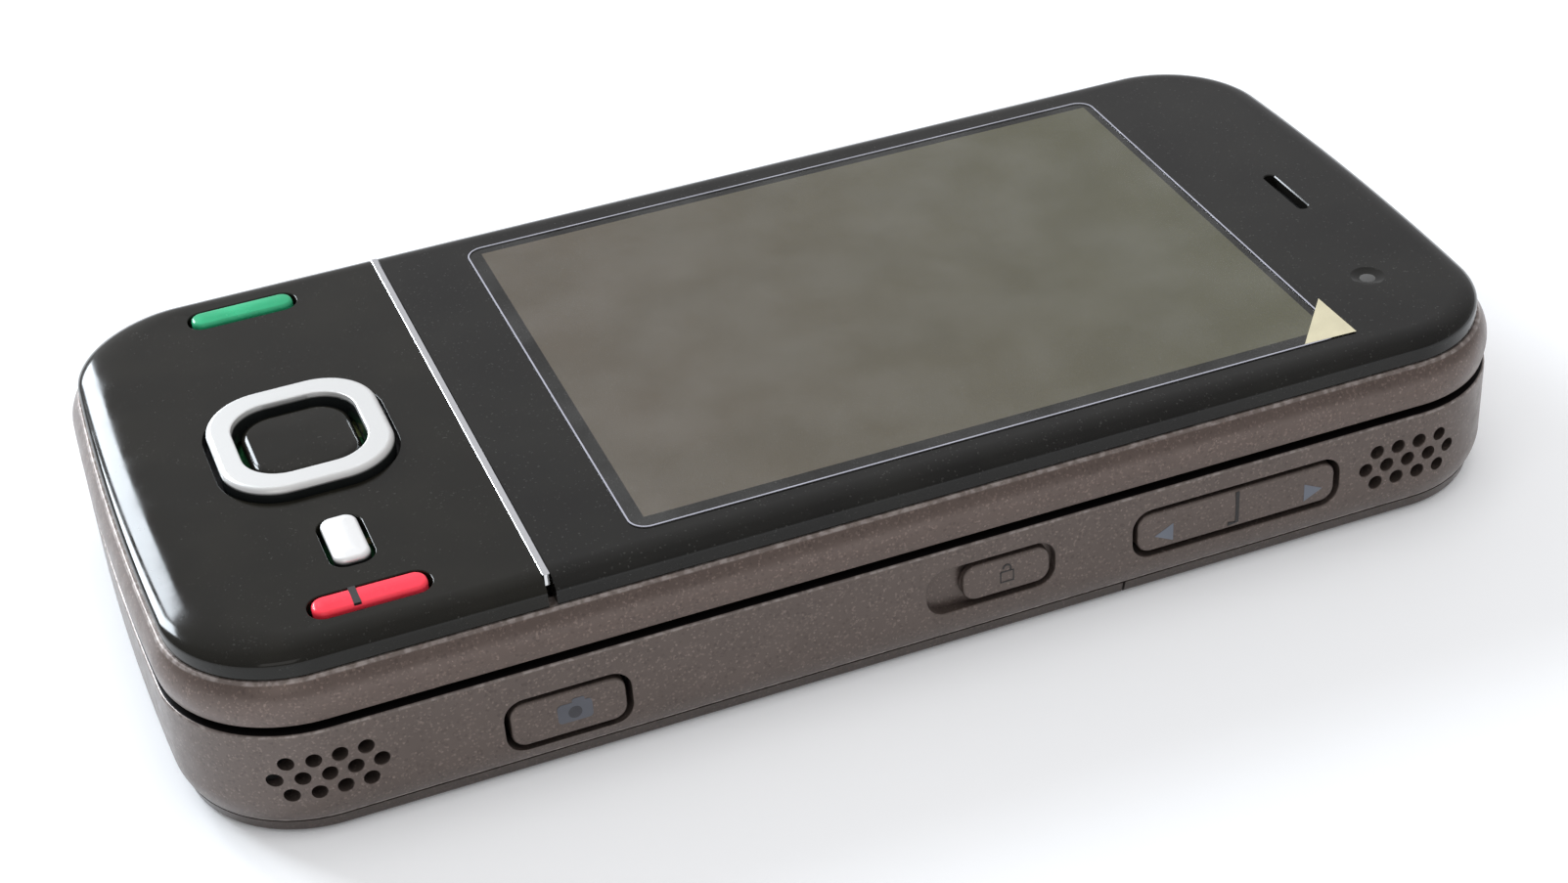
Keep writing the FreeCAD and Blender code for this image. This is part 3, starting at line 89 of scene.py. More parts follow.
# Side walls
WALL_INSET = 0.02
HEEL_TOP, HEEL_RADIUS = 3.4, 4.23
COVER_LIP = 0.62
BOSS_FOOT, BOSS_RADIUS = 3.05, 1.9
SHOULDER_Z, SHOULDER_RADIUS, SHOULDER_END_Z = 11.2, 2.66, 12.95
UNDERCUT, UNDERCUT_DEPTH = 0.2, 1.35
TRAY_INSET = 2.0
TRACK_ROOM = (39.8, 85.2)
PANEL_WALL = 1.45
ROLL_START_Y, ROLL_LENGTH = -36.0, 12.0

# Openings in the ends and on the left: width, height and corner radius
JACK_HOLE_RADIUS = 2.6
USB_HOLE = (7.5, 2.6, 0.7)
POWER_HOLE = (7.6, 2.8, 1.0)
DOOR_HOLE = (14.2, 3.8, 0.8)
POWER_KEY = (7.0, 2.2, 0.8)
POWER_Z = 5.0
END_DEPTH = 3.5

# Back: width, length and corner radius
LENS_TRACK = (29.1, 12.0, 1.5)
LENS_PLATE = (17.0, 11.4, 1.2)
TRACK_X = 5.75
HEEL_LOW_INSET, HEEL_RISE, HEEL_REACH = 1.55, 0.55, 0.8
SHELL_WALL = 1.5

# Front keys
RING = (13.4, 12.6, 4.4)
RING_HOLE = (9.3, 9.1, 3.0)
RING_FOOT, RING_TOP = 14.15, 16.0
SELECT = (8.3, 8.0, 2.6)
SELECT_TOP = 15.45
MULTIMEDIA = (13.3, 5.4, 2.6)
MULTIMEDIA_TOP = 15.6
CALL = (20.0, 2.0, 7.9)
CALL_TOP = 15.4
KEY_FOOT = 13.45
FRONT_KEY_RADIUS = 0.9
EARPIECE = (0.6, 43.6, 6.0, 0.9)
FRONT_CAMERA = (14.65, 42.5, 1.3)
FILM = (41.9, 55.0, 1.4)
FILM_PLACE = (0.2, 9.1)

# Side keys: body, node, place along the phone, height, length and width
CAMERA_KEY = ("camera_shutter", "camera_key", -25.3, 4.6, 8.3, 3.6)
VOLUME_KEY = ("volume", "volume_rocker", 26.0, 5.4, 16.2, 3.3)
LOCK_Y, LOCK_Z, LOCK_LENGTH, LOCK_HEIGHT = 7.5, 5.5, 6.8, 3.0
LOCK_TRAVEL = 2.4
LOCK_RECESS = 0.8
LOCK_STEM = 2.0
SIDE_RADIUS = 1.1
WALL_X = HALF_WIDTH - WALL_INSET
KEY_FACE_X = HALF_WIDTH - 0.05
SOUND_Z = 5.4
SOUND_PITCH, SOUND_ROW = 1.78, 1.35
SOUND_RADIUS = 0.55
SOUND_Y = (-41.9, 40.3)

# Keypad caps: width, length and corner radius
NUMBER_CAP = (13.2, 6.2, 1.1)
MUSIC_CAP = (9.4, 6.0, 0.9)

# Paints
PAINT = (0.132, 0.098, 0.084)
LOWER_PAINT = (0.125, 0.098, 0.086)
# Bright edge colour: partly rubbed paint, partly painted highlight
WORN_PAINT_AND_HIGHLIGHT = (0.42, 0.37, 0.345)
# Near black painted shade for the gap between the halves
PAINTED_GAP_SHADE = (0.006, 0.005, 0.005)
DUST = (0.3, 0.3, 0.28)

# Photograph's viewpoint: azimuth, elevation and roll in degrees, then lengths in millimetres
VIEW_ANGLES = (70.895, 34.176, -4.17)
VIEW_TARGET = (5.705, -1.836, 8.0)
VIEW_DISTANCE = 206.791
LENS_LENGTH = 63.235

# Turns of a piece: its own Z becomes the direction named
UP = Matrix.Identity(4)
TO_RIGHT = Matrix(((0, 0, 1, 0), (1, 0, 0, 0), (0, 1, 0, 0), (0, 0, 0, 1)))
TO_LEFT = Matrix(((0, 0, -1, 0), (-1, 0, 0, 0), (0, 1, 0, 0), (0, 0, 0, 1)))
TO_EARPIECE = Matrix(((1, 0, 0, 0), (0, 0, 1, 0), (0, -1, 0, 0), (0, 0, 0, 1)))


def at(x=0.0, y=0.0, z=0.0, turn=UP):
    """Turn, then move, in millimetres."""
    return Matrix.Translation((x, y, z)) @ turn


def arc_points(centre, radius, start, end, steps, closed=False):
    """Points along an arc, without its last point unless closed is set."""
    count = steps + 1 if closed else steps
    angles = [start + (end - start) * step / steps for step in range(count)]
    return [(centre[0] + radius * math.cos(a), centre[1] + radius * math.sin(a)) for a in angles]


def phone_outline(inset):
    """Outline of the casings, drawn in by inset: straight sides, tangent corners and bowed ends."""
    corner = CORNER_RADIUS - inset
    bow = END_RADIUS - inset
    corner_x = HALF_WIDTH - CORNER_RADIUS
    bow_centre = END_RADIUS - HALF_LENGTH
    corner_y = math.sqrt((END_RADIUS - CORNER_RADIUS) ** 2 - corner_x ** 2) - bow_centre
    swing = math.atan2(corner_y + bow_centre, corner_x)
    quarter = [
        ((corner_x, corner_y), corner, 0, swing, CORNER_STEPS, False),
        ((0, -bow_centre), bow, swing, math.pi - swing, END_STEPS, False),
        ((-corner_x, corner_y), corner, math.pi - swing, math.pi, CORNER_STEPS, True),
    ]
    points = [point for arc in quarter for point in arc_points(*arc)]
    return points + [(-x, -y) for x, y in points]


def rounded(width, length, radius, steps=10):
    """Outline function of a centred rectangle with round corners."""
    def outline(inset):
        round_ = max(radius - inset, 0.02)
        x = width / 2 - inset - round_
        y = length / 2 - inset - round_
        corners = ((x, y), (-x, y), (-x, -y), (x, -y))
        return [point for index, corner in enumerate(corners)
                for point in arc_points(corner, round_, index * math.pi / 2, (index + 1) * math.pi / 2,
                                        steps, True)]
    return outline


def disc(radius, steps=40):
    """Outline function of a circle."""
    return lambda inset: arc_points((0, 0), radius - inset, 0, 2 * math.pi, steps)


def polygon(points):
    """Outline function of a fixed closed polygon."""
    return lambda inset: points


def fillet(top, inset, radius, steps=6, deep=None):
    """Height and inset pairs that round a wall at the given inset over into a flat top."""
    deep = deep or radius
    return [(top - deep + deep * math.sin(a), inset + radius - radius * math.cos(a))
            for a in (math.pi / 2 * step / steps for step in range(steps + 1))]


def build(name, outline, levels, where=UP, ring=False):
    """Mesh through the outline at each height and inset: a capped solid, or a closed band if ring is set."""
    mesh = bmesh.new()
    rows = []
    for height, inset in levels:
        rows.append([mesh.verts.new(MM * (where @ Vector((x, y, height)))) for x, y in outline(inset)])
    pairs = list(zip(rows, rows[1:]))
    if ring:
        pairs.append((rows[-1], rows[0]))
    for low, high in pairs:
        for index in range(len(low)):
            other = (index + 1) % len(low)
            mesh.faces.new((low[index], low[other], high[other], high[index]))
    if not ring:
        mesh.faces.new(list(reversed(rows[0])))
        mesh.faces.new(rows[-1])
    bmesh.ops.remove_doubles(mesh, verts=mesh.verts, dist=1e-8)
    bmesh.ops.recalc_face_normals(mesh, faces=mesh.faces)
    data = bpy.data.meshes.new(name)
    mesh.to_mesh(data)
    mesh.free()
    piece = bpy.data.objects.new(name, data)
    bpy.context.scene.collection.objects.link(piece)
    return piece


def block(name, width, length, height, x=0.0, y=0.0, z=0.0, turn=UP, radius=0.02):
    """Block whose foot is centred on a point."""
    return build(name, rounded(width, length, radius, 1 if radius < 0.05 else 6), [(0, 0), (height, 0)],
                 at(x, y, z, turn))


def evaluated(piece):
    """The piece's mesh with its modifiers applied."""
    bpy.context.view_layer.update()
    result = piece.evaluated_get(bpy.context.evaluated_depsgraph_get())
    return bpy.data.meshes.new_from_object(result)


def joined(name, pieces):
    """One object from several, which are used up."""
    mesh = bmesh.new()
    for piece in pieces:
        mesh.from_mesh(piece.data)
        bpy.data.objects.remove(piece)
    data = bpy.data.meshes.new(name)
    mesh.to_mesh(data)
    mesh.free()
    result = bpy.data.objects.new(name, data)
    bpy.context.scene.collection.objects.link(result)
    return result


def combine(piece, tools, operation="DIFFERENCE"):
    """Take the tools out of a piece, or add them to it, and use them up."""
    tool = joined(piece.name + "_tools", tools)
    step = piece.modifiers.new("combine", "BOOLEAN")
    step.solver = "EXACT"
    step.operation = operation
    step.object = tool
    data = evaluated(piece)
    piece.modifiers.remove(step)
    piece.data = data
    bpy.data.objects.remove(tool)
    return piece


def smooth(piece, angle=32):
    """Smooth shading with sharp edges kept, and flat faces kept flat."""
    piece.data.polygons.foreach_set("use_smooth", [True] * len(piece.data.polygons))
    piece.data.set_sharp_from_angle(angle=math.radians(angle))
    step = piece.modifiers.new("even shading", "WEIGHTED_NORMAL")
    step.keep_sharp = True
    return piece


def settle(piece, body, finish, replaces=(), angle=32):
    """Give a piece its finish, its body and the nodes that it stands for."""
    piece.data.materials.clear()
    piece.data.materials.append(finish)
    if angle:
        smooth(piece, angle)
    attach(piece, body)
    for node in replaces:
        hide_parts(node)
    return piece


class Finish:
    """Material on one Principled shader, whose textures lie in the piece's own millimetres."""

    def __init__(self, name, colour, roughness, **sockets):
        self.material = bpy.data.materials.new(name)
        self.material.use_nodes = True
        self.tree = self.material.node_tree
        self.shader = self.tree.nodes["Principled BSDF"]
        self.shader.inputs["Base Color"].default_value = (*colour, 1)
        self.shader.inputs["Roughness"].default_value = roughness
        for socket, value in sockets.items():
            self.shader.inputs[socket.replace("_", " ")].default_value = value
        place = self.node("ShaderNodeTexCoord")
        scaled = self.node("ShaderNodeVectorMath", operation="SCALE")
        scaled.inputs["Scale"].default_value = 1 / MM
        self.tree.links.new(place.outputs["Object"], scaled.inputs[0])
        self.place = scaled.outputs[0]
        axes = self.node("ShaderNodeSeparateXYZ")
        self.tree.links.new(self.place, axes.inputs[0])
        self.axis = {name: axes.outputs[name] for name in "XYZ"}

    def node(self, kind, **settings):
        node = self.tree.nodes.new(kind)
        for name, value in settings.items():
            setattr(node, name, value)
        return node

    def put(self, socket, value):
        """Link an output to a socket, or set a plain value on it."""
        if isinstance(value, bpy.types.NodeSocket):
            self.tree.links.new(value, socket)
        else:
            socket.default_value = value

    def noise(self, scale, detail=2.0, place=None):
        node = self.node("ShaderNodeTexNoise")
        node.inputs["Scale"].default_value = scale
        node.inputs["Detail"].default_value = detail
        self.tree.links.new(place or self.place, node.inputs["Vector"])
        return node.outputs["Fac"]

    def cells(self, scale):
        """One random value for each cell of a cellular pattern."""
        node = self.node("ShaderNodeTexVoronoi")
        node.inputs["Scale"].default_value = scale
        self.tree.links.new(self.place, node.inputs["Vector"])
        split = self.node("ShaderNodeSeparateColor")
        self.tree.links.new(node.outputs["Color"], split.inputs[0])
        return split.outputs[0]

    def remap(self, value, low, high, to_low=0.0, to_high=1.0):
        node = self.node("ShaderNodeMapRange")
        self.put(node.inputs["Value"], value)
        for name, number in (("From Min", low), ("From Max", high), ("To Min", to_low), ("To Max", to_high)):
            node.inputs[name].default_value = number
        return node.outputs["Result"]

    def math(self, operation, first, second=0.0):
        node = self.node("ShaderNodeMath", operation=operation)
        self.put(node.inputs[0], first)
        self.put(node.inputs[1], second)
        return node.outputs[0]

    def between(self, axis, low, high, edge=0.02):
        """One between two places along an axis, and nothing beyond them."""
        rise = self.remap(self.axis[axis], low - edge, low + edge)
        fall = self.remap(self.axis[axis], high - edge, high + edge, 1.0, 0.0)
        return self.math("MULTIPLY", rise, fall)

    def mix(self, factor, first, second):
        """Colour from the first to the second, by a factor."""
        node = self.node("ShaderNodeMix", data_type="RGBA")
        self.put(node.inputs["Factor"], factor)
        colours = [socket for socket in node.inputs if socket.type == "RGBA"]
        for socket, value in zip(colours, (first, second)):
            self.put(socket, value if isinstance(value, bpy.types.NodeSocket) else (*value, 1))
        return next(socket for socket in node.outputs if socket.type == "RGBA")

    def paint(self, colour):
        self.put(self.shader.inputs["Base Color"], colour)
        return self

    def polish(self, roughness):
        self.put(self.shader.inputs["Roughness"], roughness)
        return self

    def bump(self, height, distance, strength=1.0):
        node = self.node("ShaderNodeBump")
        node.inputs["Strength"].default_value = strength
        node.inputs["Distance"].default_value = distance * MM
        self.put(node.inputs["Height"], height)
        self.tree.links.new(node.outputs[0], self.shader.inputs["Normal"])
        return self


def shade(colour, factor):
    return tuple(min(channel * factor, 1.0) for channel in colour)


def metallic_paint(name, colour, edges, gap_shade_band=None):
    """Satin paint with fine flakes, soft clouding, brighter bands along edges that are partly rubbed paint
    and partly painted highlight, and a height painted dark as painted shade in the gap between the halves.
    """
    finish = Finish(name, colour, 0.38, Metallic=0.6, Coat_Weight=0.25)
    finish.shader.inputs["Coat Roughness"].default_value = 0.25
    cloudy = finish.mix(finish.noise(0.35), shade(colour, 0.88), shade(colour, 1.12))
    flake = finish.math("MULTIPLY", finish.remap(finish.cells(7.0), 0.82, 1.0),
                        finish.remap(finish.noise(5.0), 0.35, 0.7, 0.15, 0.6))
    tone = finish.mix(flake, cloudy, shade(colour, 2.6))
    dark_flake = finish.remap(finish.cells(5.2), 0.86, 1.0, 0.0, 0.45)
    tone = finish.mix(dark_flake, tone, shade(colour, 0.55))
    wear_and_highlight_breakup = finish.remap(finish.noise(1.6, 6.0), 0.45, 0.62, 0.25, 0.85)
    # Each band is brightened: partly rubbed paint, partly a painted highlight where the edge catches light
    for low, high in edges:
        wear_and_highlight = finish.math("MULTIPLY", finish.between("Z", low, high, 0.04), wear_and_highlight_breakup)
        tone = finish.mix(wear_and_highlight, tone, WORN_PAINT_AND_HIGHLIGHT)
    # Painted shade: the gap between the halves is painted near black here, with less metal, coat and
    # specular
    if gap_shade_band:
        gap_shade = finish.between("Z", *gap_shade_band, 0.005)
        tone = finish.mix(gap_shade, tone, PAINTED_GAP_SHADE)
        finish.put(finish.shader.inputs["Metallic"], finish.remap(gap_shade, 0.0, 1.0, 0.6, 0.0))
        finish.put(finish.shader.inputs["Coat Weight"], finish.remap(gap_shade, 0.0, 1.0, 0.25, 0.0))
        finish.put(finish.shader.inputs["Specular IOR Level"], finish.remap(gap_shade, 0.0, 1.0, 0.5, 0.1))
    finish.paint(tone)
    finish.polish(finish.remap(finish.noise(0.8), 0.3, 0.7, 0.33, 0.44))
    return finish.bump(finish.noise(9.0, 3.0), 0.006).material


def gloss_plastic(name, colour, roughness=0.07, dust=0.14, speckle=0.3):
    """Moulded gloss plastic with faint dust and hairline marks."""
    finish = Finish(name, colour, roughness, Specular_IOR_Level=0.31)
    specks = finish.math("MULTIPLY", finish.remap(finish.cells(9.0), 0.95, 1.0),
                         finish.remap(finish.noise(0.5), 0.45, 0.7))
    specks = finish.math("MULTIPLY", specks, dust)
    haze = finish.remap(finish.noise(0.18, 4.0), 0.42, 0.7, 0.0, speckle)
    tone = finish.mix(haze, colour, shade(colour, 2.2))
    finish.paint(finish.mix(specks, tone, DUST))
    finish.polish(finish.remap(finish.noise(0.25, 5.0), 0.35, 0.7, roughness, roughness * 2.2))
    return finish.bump(finish.noise(1.2, 2.0), 0.0015).material


def soft_plastic(name, colour, roughness=0.5):
    """Moulded plastic with a fine spark-eroded texture."""
    finish = Finish(name, colour, roughness)
    finish.paint(finish.mix(finish.noise(0.6, 4.0), shade(colour, 0.85), shade(colour, 1.15)))
    finish.polish(finish.remap(finish.noise(2.5), 0.3, 0.7, roughness * 0.85, roughness * 1.15))
    return finish.bump(finish.noise(7.0, 3.0), 0.012).material


def metal(name, colour, roughness, grain=(1, 1, 1), distance=0.003):
    """Bare metal with a grain that can be drawn out along one axis."""
    finish = Finish(name, colour, roughness, Metallic=1.0)
    stretched = finish.node("ShaderNodeVectorMath", operation="MULTIPLY")
    finish.tree.links.new(finish.place, stretched.inputs[0])
    stretched.inputs[1].default_value = grain
    brushed = finish.noise(6.0, 4.0, stretched.outputs[0])
    finish.paint(finish.mix(brushed, shade(colour, 0.9), shade(colour, 1.06)))
    finish.polish(finish.remap(brushed, 0.3, 0.7, roughness * 0.75, roughness * 1.25))
    return finish.bump(brushed, distance).material


def plated_with_painted_reflection(name, face, top):
    """Satin silver face above polished sides, whose dark colour is a painted reflection of the black panel
    round them.
    """
    finish = Finish(name, face, 0.36, Metallic=0.55)
    face_over_painted_reflection = finish.remap(finish.axis["Z"], top - 0.5, top - 0.3)
    fine = finish.remap(finish.noise(8.0, 3.0), 0.3, 0.7, 0.94, 1.04)
    # Painted reflection: below the face the colour turns near black, standing in for the black panel
    # mirrored in the polished sides
    tone = finish.mix(face_over_painted_reflection, (0.03, 0.034, 0.034), face)
    finish.paint(tone)
    finish.polish(finish.math("MULTIPLY", fine, finish.remap(face_over_painted_reflection, 0.0, 1.0, 0.1, 0.38)))
    return finish.bump(finish.noise(12.0, 2.0), 0.002).material


def board_green():
    """Solder mask with copper tracks and tinned pads below it."""
    colour = (0.02, 0.13, 0.05)
    finish = Finish("board_green", colour, 0.35)
    tracks = finish.node("ShaderNodeTexBrick")
    tracks.inputs["Scale"].default_value = 0.8
    tracks.inputs["Mortar Size"].default_value = 0.05
    finish.tree.links.new(finish.place, tracks.inputs["Vector"])
    pads = finish.remap(finish.cells(0.7), 0.9, 0.92)
    tone = finish.mix(tracks.outputs["Fac"], colour, (0.05, 0.24, 0.09))
    finish.paint(finish.mix(pads, tone, (0.55, 0.45, 0.2)))
    finish.polish(finish.remap(pads, 0.0, 1.0, 0.38, 0.2))
    return finish.bump(finish.math("ADD", tracks.outputs["Fac"], pads), 0.02).material


def display_panel():
    """Front glass: black round the display, grey-olive over its lit area."""
    finish = Finish("window_gloss", (0.01, 0.0095, 0.008), 0.1, Specular_IOR_Level=0.31)
    inside = finish.math("MULTIPLY", finish.between("X", -DISPLAY_HALF, DISPLAY_HALF, 0.03),
                         finish.between("Y", *DISPLAY_Y, 0.03))
    inside = finish.math("MULTIPLY", inside, finish.between("Z", PANEL_TOP - 0.05, PANEL_TOP + 0.05, 0.01))
    cloudy = finish.noise(0.12, 3.0)
    black = finish.mix(finish.remap(cloudy, 0.35, 0.7), (0.008, 0.0075, 0.0065), (0.013, 0.0125, 0.0105))
    along = finish.remap(finish.axis["Y"], -15.0, 35.0)
    deep = finish.mix(along, (0.1, 0.084, 0.064), (0.086, 0.083, 0.052))
    grey = finish.mix(finish.remap(cloudy, 0.4, 0.65, 0.0, 0.14), deep, (0.078, 0.076, 0.06))
    specks = finish.math("MULTIPLY", finish.remap(finish.cells(9.0), 0.97, 1.0), 0.1)
    finish.paint(finish.mix(specks, finish.mix(inside, black, grey), DUST))
    finish.polish(finish.remap(finish.noise(0.25, 5.0), 0.35, 0.7, 0.08, 0.2))
    return finish.bump(finish.noise(1.2, 2.0), 0.001).material


def clear_film():
    """Protective film: faint haze and fine scratches."""
    finish = Finish("clear_film", (0.86, 0.86, 0.84), 0.14)
    haze = finish.remap(finish.noise(0.15, 4.0), 0.35, 0.7, 0.004, 0.022)
    finish.put(finish.shader.inputs["Alpha"], haze)
    finish.polish(finish.remap(finish.noise(0.6, 6.0), 0.3, 0.7, 0.1, 0.24))
    return finish.bump(finish.noise(0.3, 2.0), 0.01).material


FINISHES = {
    # Each paint lists its bright bands (partly rubbed paint, partly painted highlight), then the height
    # painted dark as painted gap shade
    "brown_paint": metallic_paint("frame_paint", PAINT, [(SPLIT_Z - 0.2, SPLIT_Z + 0.1)],
                                  (FRAME_FOOT - 1, FRAME_FOOT + 0.05)),
    "lower_paint": metallic_paint("housing_paint", LOWER_PAINT,
                                  [(RIM_Z - 0.16, RIM_Z - 0.03), (SEAM_Z, SEAM_Z + 0.14)],
                                  (RIM_Z - 0.012, RIM_Z + 1)),
    # Darker copy of the lower paint: painted shade on the cover's heel below the seam; the rear panel takes
    # it too
    "cover_metal": metallic_paint("cover_paint_painted_shade", shade(LOWER_PAINT, 0.62), []),
    "deck_black": gloss_plastic("deck_black", (0.018, 0.018, 0.019), 0.16),
    "key_black": gloss_plastic("key_black", (0.022, 0.022, 0.024), 0.2),
    "piano_black": gloss_plastic("piano_black", (0.0085, 0.0078, 0.0055), 0.07),
    "display_grey": display_panel(),
    "silver": metal("satin_silver", (0.78, 0.77, 0.74), 0.34, (1, 1, 1), 0.002),
    "chrome_trim": metal("chrome", (0.85, 0.86, 0.88), 0.08, (1, 1, 1), 0.0005),
    "steel": metal("sheet_steel", (0.55, 0.55, 0.56), 0.32, (0.1, 1, 1)),
    "green_key": gloss_plastic("green_key", (0.03, 0.36, 0.17), 0.14),
    "red_key": gloss_plastic("red_key", (1.0, 0.045, 0.075), 0.14),
    "clear_film": clear_film(),
    "board_green": board_green(),
    "dome_film": soft_plastic("dome_film", (0.66, 0.66, 0.62), 0.35),
    "battery_grey": soft_plastic("battery_wrap", (0.27, 0.28, 0.29), 0.42),
    "inner_plastic": soft_plastic("inner_plastic", (0.03, 0.03, 0.033)),
    "nylon": soft_plastic("nylon", (0.5, 0.49, 0.45), 0.45),
    "lens_glass": gloss_plastic("lens_glass", (0.006, 0.008, 0.014), 0.03, 0.05, 0.3),
    "socket_black": soft_plastic("socket_black", (0.015, 0.015, 0.016), 0.4),
}
RING_SILVER = plated_with_painted_reflection("ring_silver", (0.8, 0.8, 0.785), 16.0)
PEARL = plated_with_painted_reflection("pearl_silver", (1.0, 1.0, 0.99), 15.5)
PRINT = soft_plastic("print_grey", (0.16, 0.18, 0.22), 0.4)
DARK_PRINT = soft_plastic("print_dark", (0.02, 0.018, 0.018), 0.5)
LEGEND = soft_plastic("legend_white", (0.72, 0.73, 0.74), 0.35)
MESH_CLOTH = soft_plastic("sound_cloth", (0.008, 0.008, 0.008), 0.8)
MARK_GREY = soft_plastic("print_dim", (0.05, 0.05, 0.058), 0.5)
ICON = soft_plastic("print_blue", (0.1, 0.105, 0.125), 0.4)
LENS_GREY = gloss_plastic("lens_grey", (0.09, 0.09, 0.088), 0.12)
TAB = soft_plastic("tab_cream", (0.6, 0.55, 0.38), 0.5)
# Pale line for the film's edges: a painted highlight
FILM_EDGE_HIGHLIGHT = soft_plastic("film_edge_highlight", (0.4, 0.4, 0.46), 0.25)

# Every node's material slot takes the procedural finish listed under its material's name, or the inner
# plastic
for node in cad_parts.values():
    for place in node.material_slots:
        slot_name = place.material.name.split(".")[0]
        place.material = FINISHES.get(slot_name, FINISHES["inner_plastic"])


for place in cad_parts["memory_card_door"].material_slots:
    place.material = FINISHES["lower_paint"]


# Lower half

def mouth(outline, name, depth, where, flare=0.12):
    """Cutter whose mouth flares a little at the surface, at its own height zero."""
    levels = [(-depth, 0)] + [(-flare + flare * math.sin(a), -flare + flare * math.cos(a))
                              for a in (math.pi / 2 * step / 4 for step in range(5))]
    return build(name, outline, levels + [(PAST, -flare)], where)


def side_opening(name, y, z, length, height, depth=3.0, gap=SIDE_GAP):
    outline = rounded(length + 2 * gap, height + 2 * gap, SIDE_RADIUS + gap)
    return mouth(outline, name, depth, at(WALL_X, y, z, TO_RIGHT))


def sound_places():
    """Centre of each sound hole: rows of four, five and four at both places."""
    for middle in SOUND_Y:
        for row, count in ((1, 4), (0, 5), (-1, 4)):
            for index in range(count):
                yield middle + (index - (count - 1) / 2) * SOUND_PITCH, SOUND_Z + row * SOUND_ROW


def heel(low, high, radius, steps=8):
    """Height and inset pairs of a circular heel that ends upright at the high level."""
    return [(z, WALL_INSET + radius - math.sqrt(radius ** 2 - (high - z) ** 2))
            for z in (low + (high - low) * step / steps for step in range(steps + 1))]


def middle_of(node):
    """Middle of a node's box."""
    low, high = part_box(node)
    return (low + high) / 2 / MM


def end_openings():
    """Cutters for the jack, the data socket, the power key and the card door."""
    jack, usb, door = (middle_of(node) for node in ("headphone_jack", "usb_socket", "memory_card_door"))
    through = [(-END_DEPTH, 0), (PAST, 0)]
    return [
        build("jack_hole", disc(JACK_HOLE_RADIUS), through, at(jack.x, HALF_LENGTH, jack.z, TO_EARPIECE)),
        build("usb_hole", rounded(*USB_HOLE), through, at(usb.x, HALF_LENGTH, usb.z, TO_EARPIECE)),
        build("power_hole", rounded(*POWER_HOLE), through, at(0, HALF_LENGTH, POWER_Z, TO_EARPIECE)),
        build("door_hole", rounded(*DOOR_HOLE), [(-3, 0), (PAST, 0)], at(-WALL_X, door.y, door.z, TO_LEFT)),
    ]


def lock_cutters():
    """Recess in which the lock slides, and the slot for its stem."""
    recess_y = LOCK_Y - LOCK_TRAVEL / 2
    length = LOCK_LENGTH + LOCK_TRAVEL
    recess = side_opening("lock_recess", recess_y, LOCK_Z, length, LOCK_HEIGHT, LOCK_RECESS)
    slot = rounded(LOCK_STEM + LOCK_TRAVEL + 0.2, 1.4, 0.5, 4)
    place = at(WALL_X - LOCK_RECESS + 0.3, recess_y, LOCK_Z, TO_RIGHT)
    return [recess, build("lock_slot", slot, [(-3, 0), (0, 0)], place)]


def bosses():
    """Screw bosses round the four casing screws."""
    low, high = (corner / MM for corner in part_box("casing_screws"))
    return [build("boss", disc(BOSS_RADIUS, 24), [(BOSS_FOOT, 0), (DECK_SEAT, 0)], at(x, y))
            for x in (low.x + 1.0, high.x - 1.0) for y in (low.y + 1.0, high.y - 1.0)]


def lower_housing():
    """Side band of the lower half, with its openings."""
    profile = heel(SEAM_Z, HEEL_TOP, HEEL_RADIUS) + fillet(RIM_Z, WALL_INSET, 0.22, 5)
    profile += [(RIM_Z, LEDGE_INSET - 0.1), (RIM_Z - 0.1, LEDGE_INSET), (DECK_SEAT, LEDGE_INSET),
                (DECK_SEAT, HOUSING_WALL), (SEAM_Z, HOUSING_WALL), (SEAM_Z, COVER_LIP)]
    band = build("housing_band", phone_outline, profile, ring=True)
    cuts = [side_opening(*key[1:]) for key in (CAMERA_KEY, VOLUME_KEY)]
    band = combine(band, cuts + lock_cutters())
    holes = [mouth(disc(SOUND_RADIUS, 20), "sound_hole", 3.0, at(WALL_X, y, z, TO_RIGHT), 0.09)
             for y, z in sound_places()]
    band = combine(band, holes)
    band = combine(band, end_openings())
    band = combine(band, bosses(), "UNION")
    band.name = "housing_band"
    settle(band, "lower_half", FINISHES["lower_paint"], ["lower_housing"])


def back_shell(name):
    """Dish that closes the back: flat underneath, with a round heel and a hollow above."""
    levels = [(0.0, HEEL_LOW_INSET + 0.2), (0.0, HEEL_LOW_INSET)]
    levels += [(HEEL_RISE - HEEL_RISE * math.cos(a), HEEL_LOW_INSET - HEEL_REACH * math.sin(a)) for a in
               (math.pi / 2 * step / 8 for step in range(1, 9))]
    levels += [(0.9, 0.64), (1.15, 0.58), (1.25, 0.56)]
    dish = build(name, phone_outline, levels)
    hollow = build(name + "_hollow", phone_outline, [(COVER_PLATE, SHELL_WALL), (3, SHELL_WALL)])
    return combine(dish, [hollow])


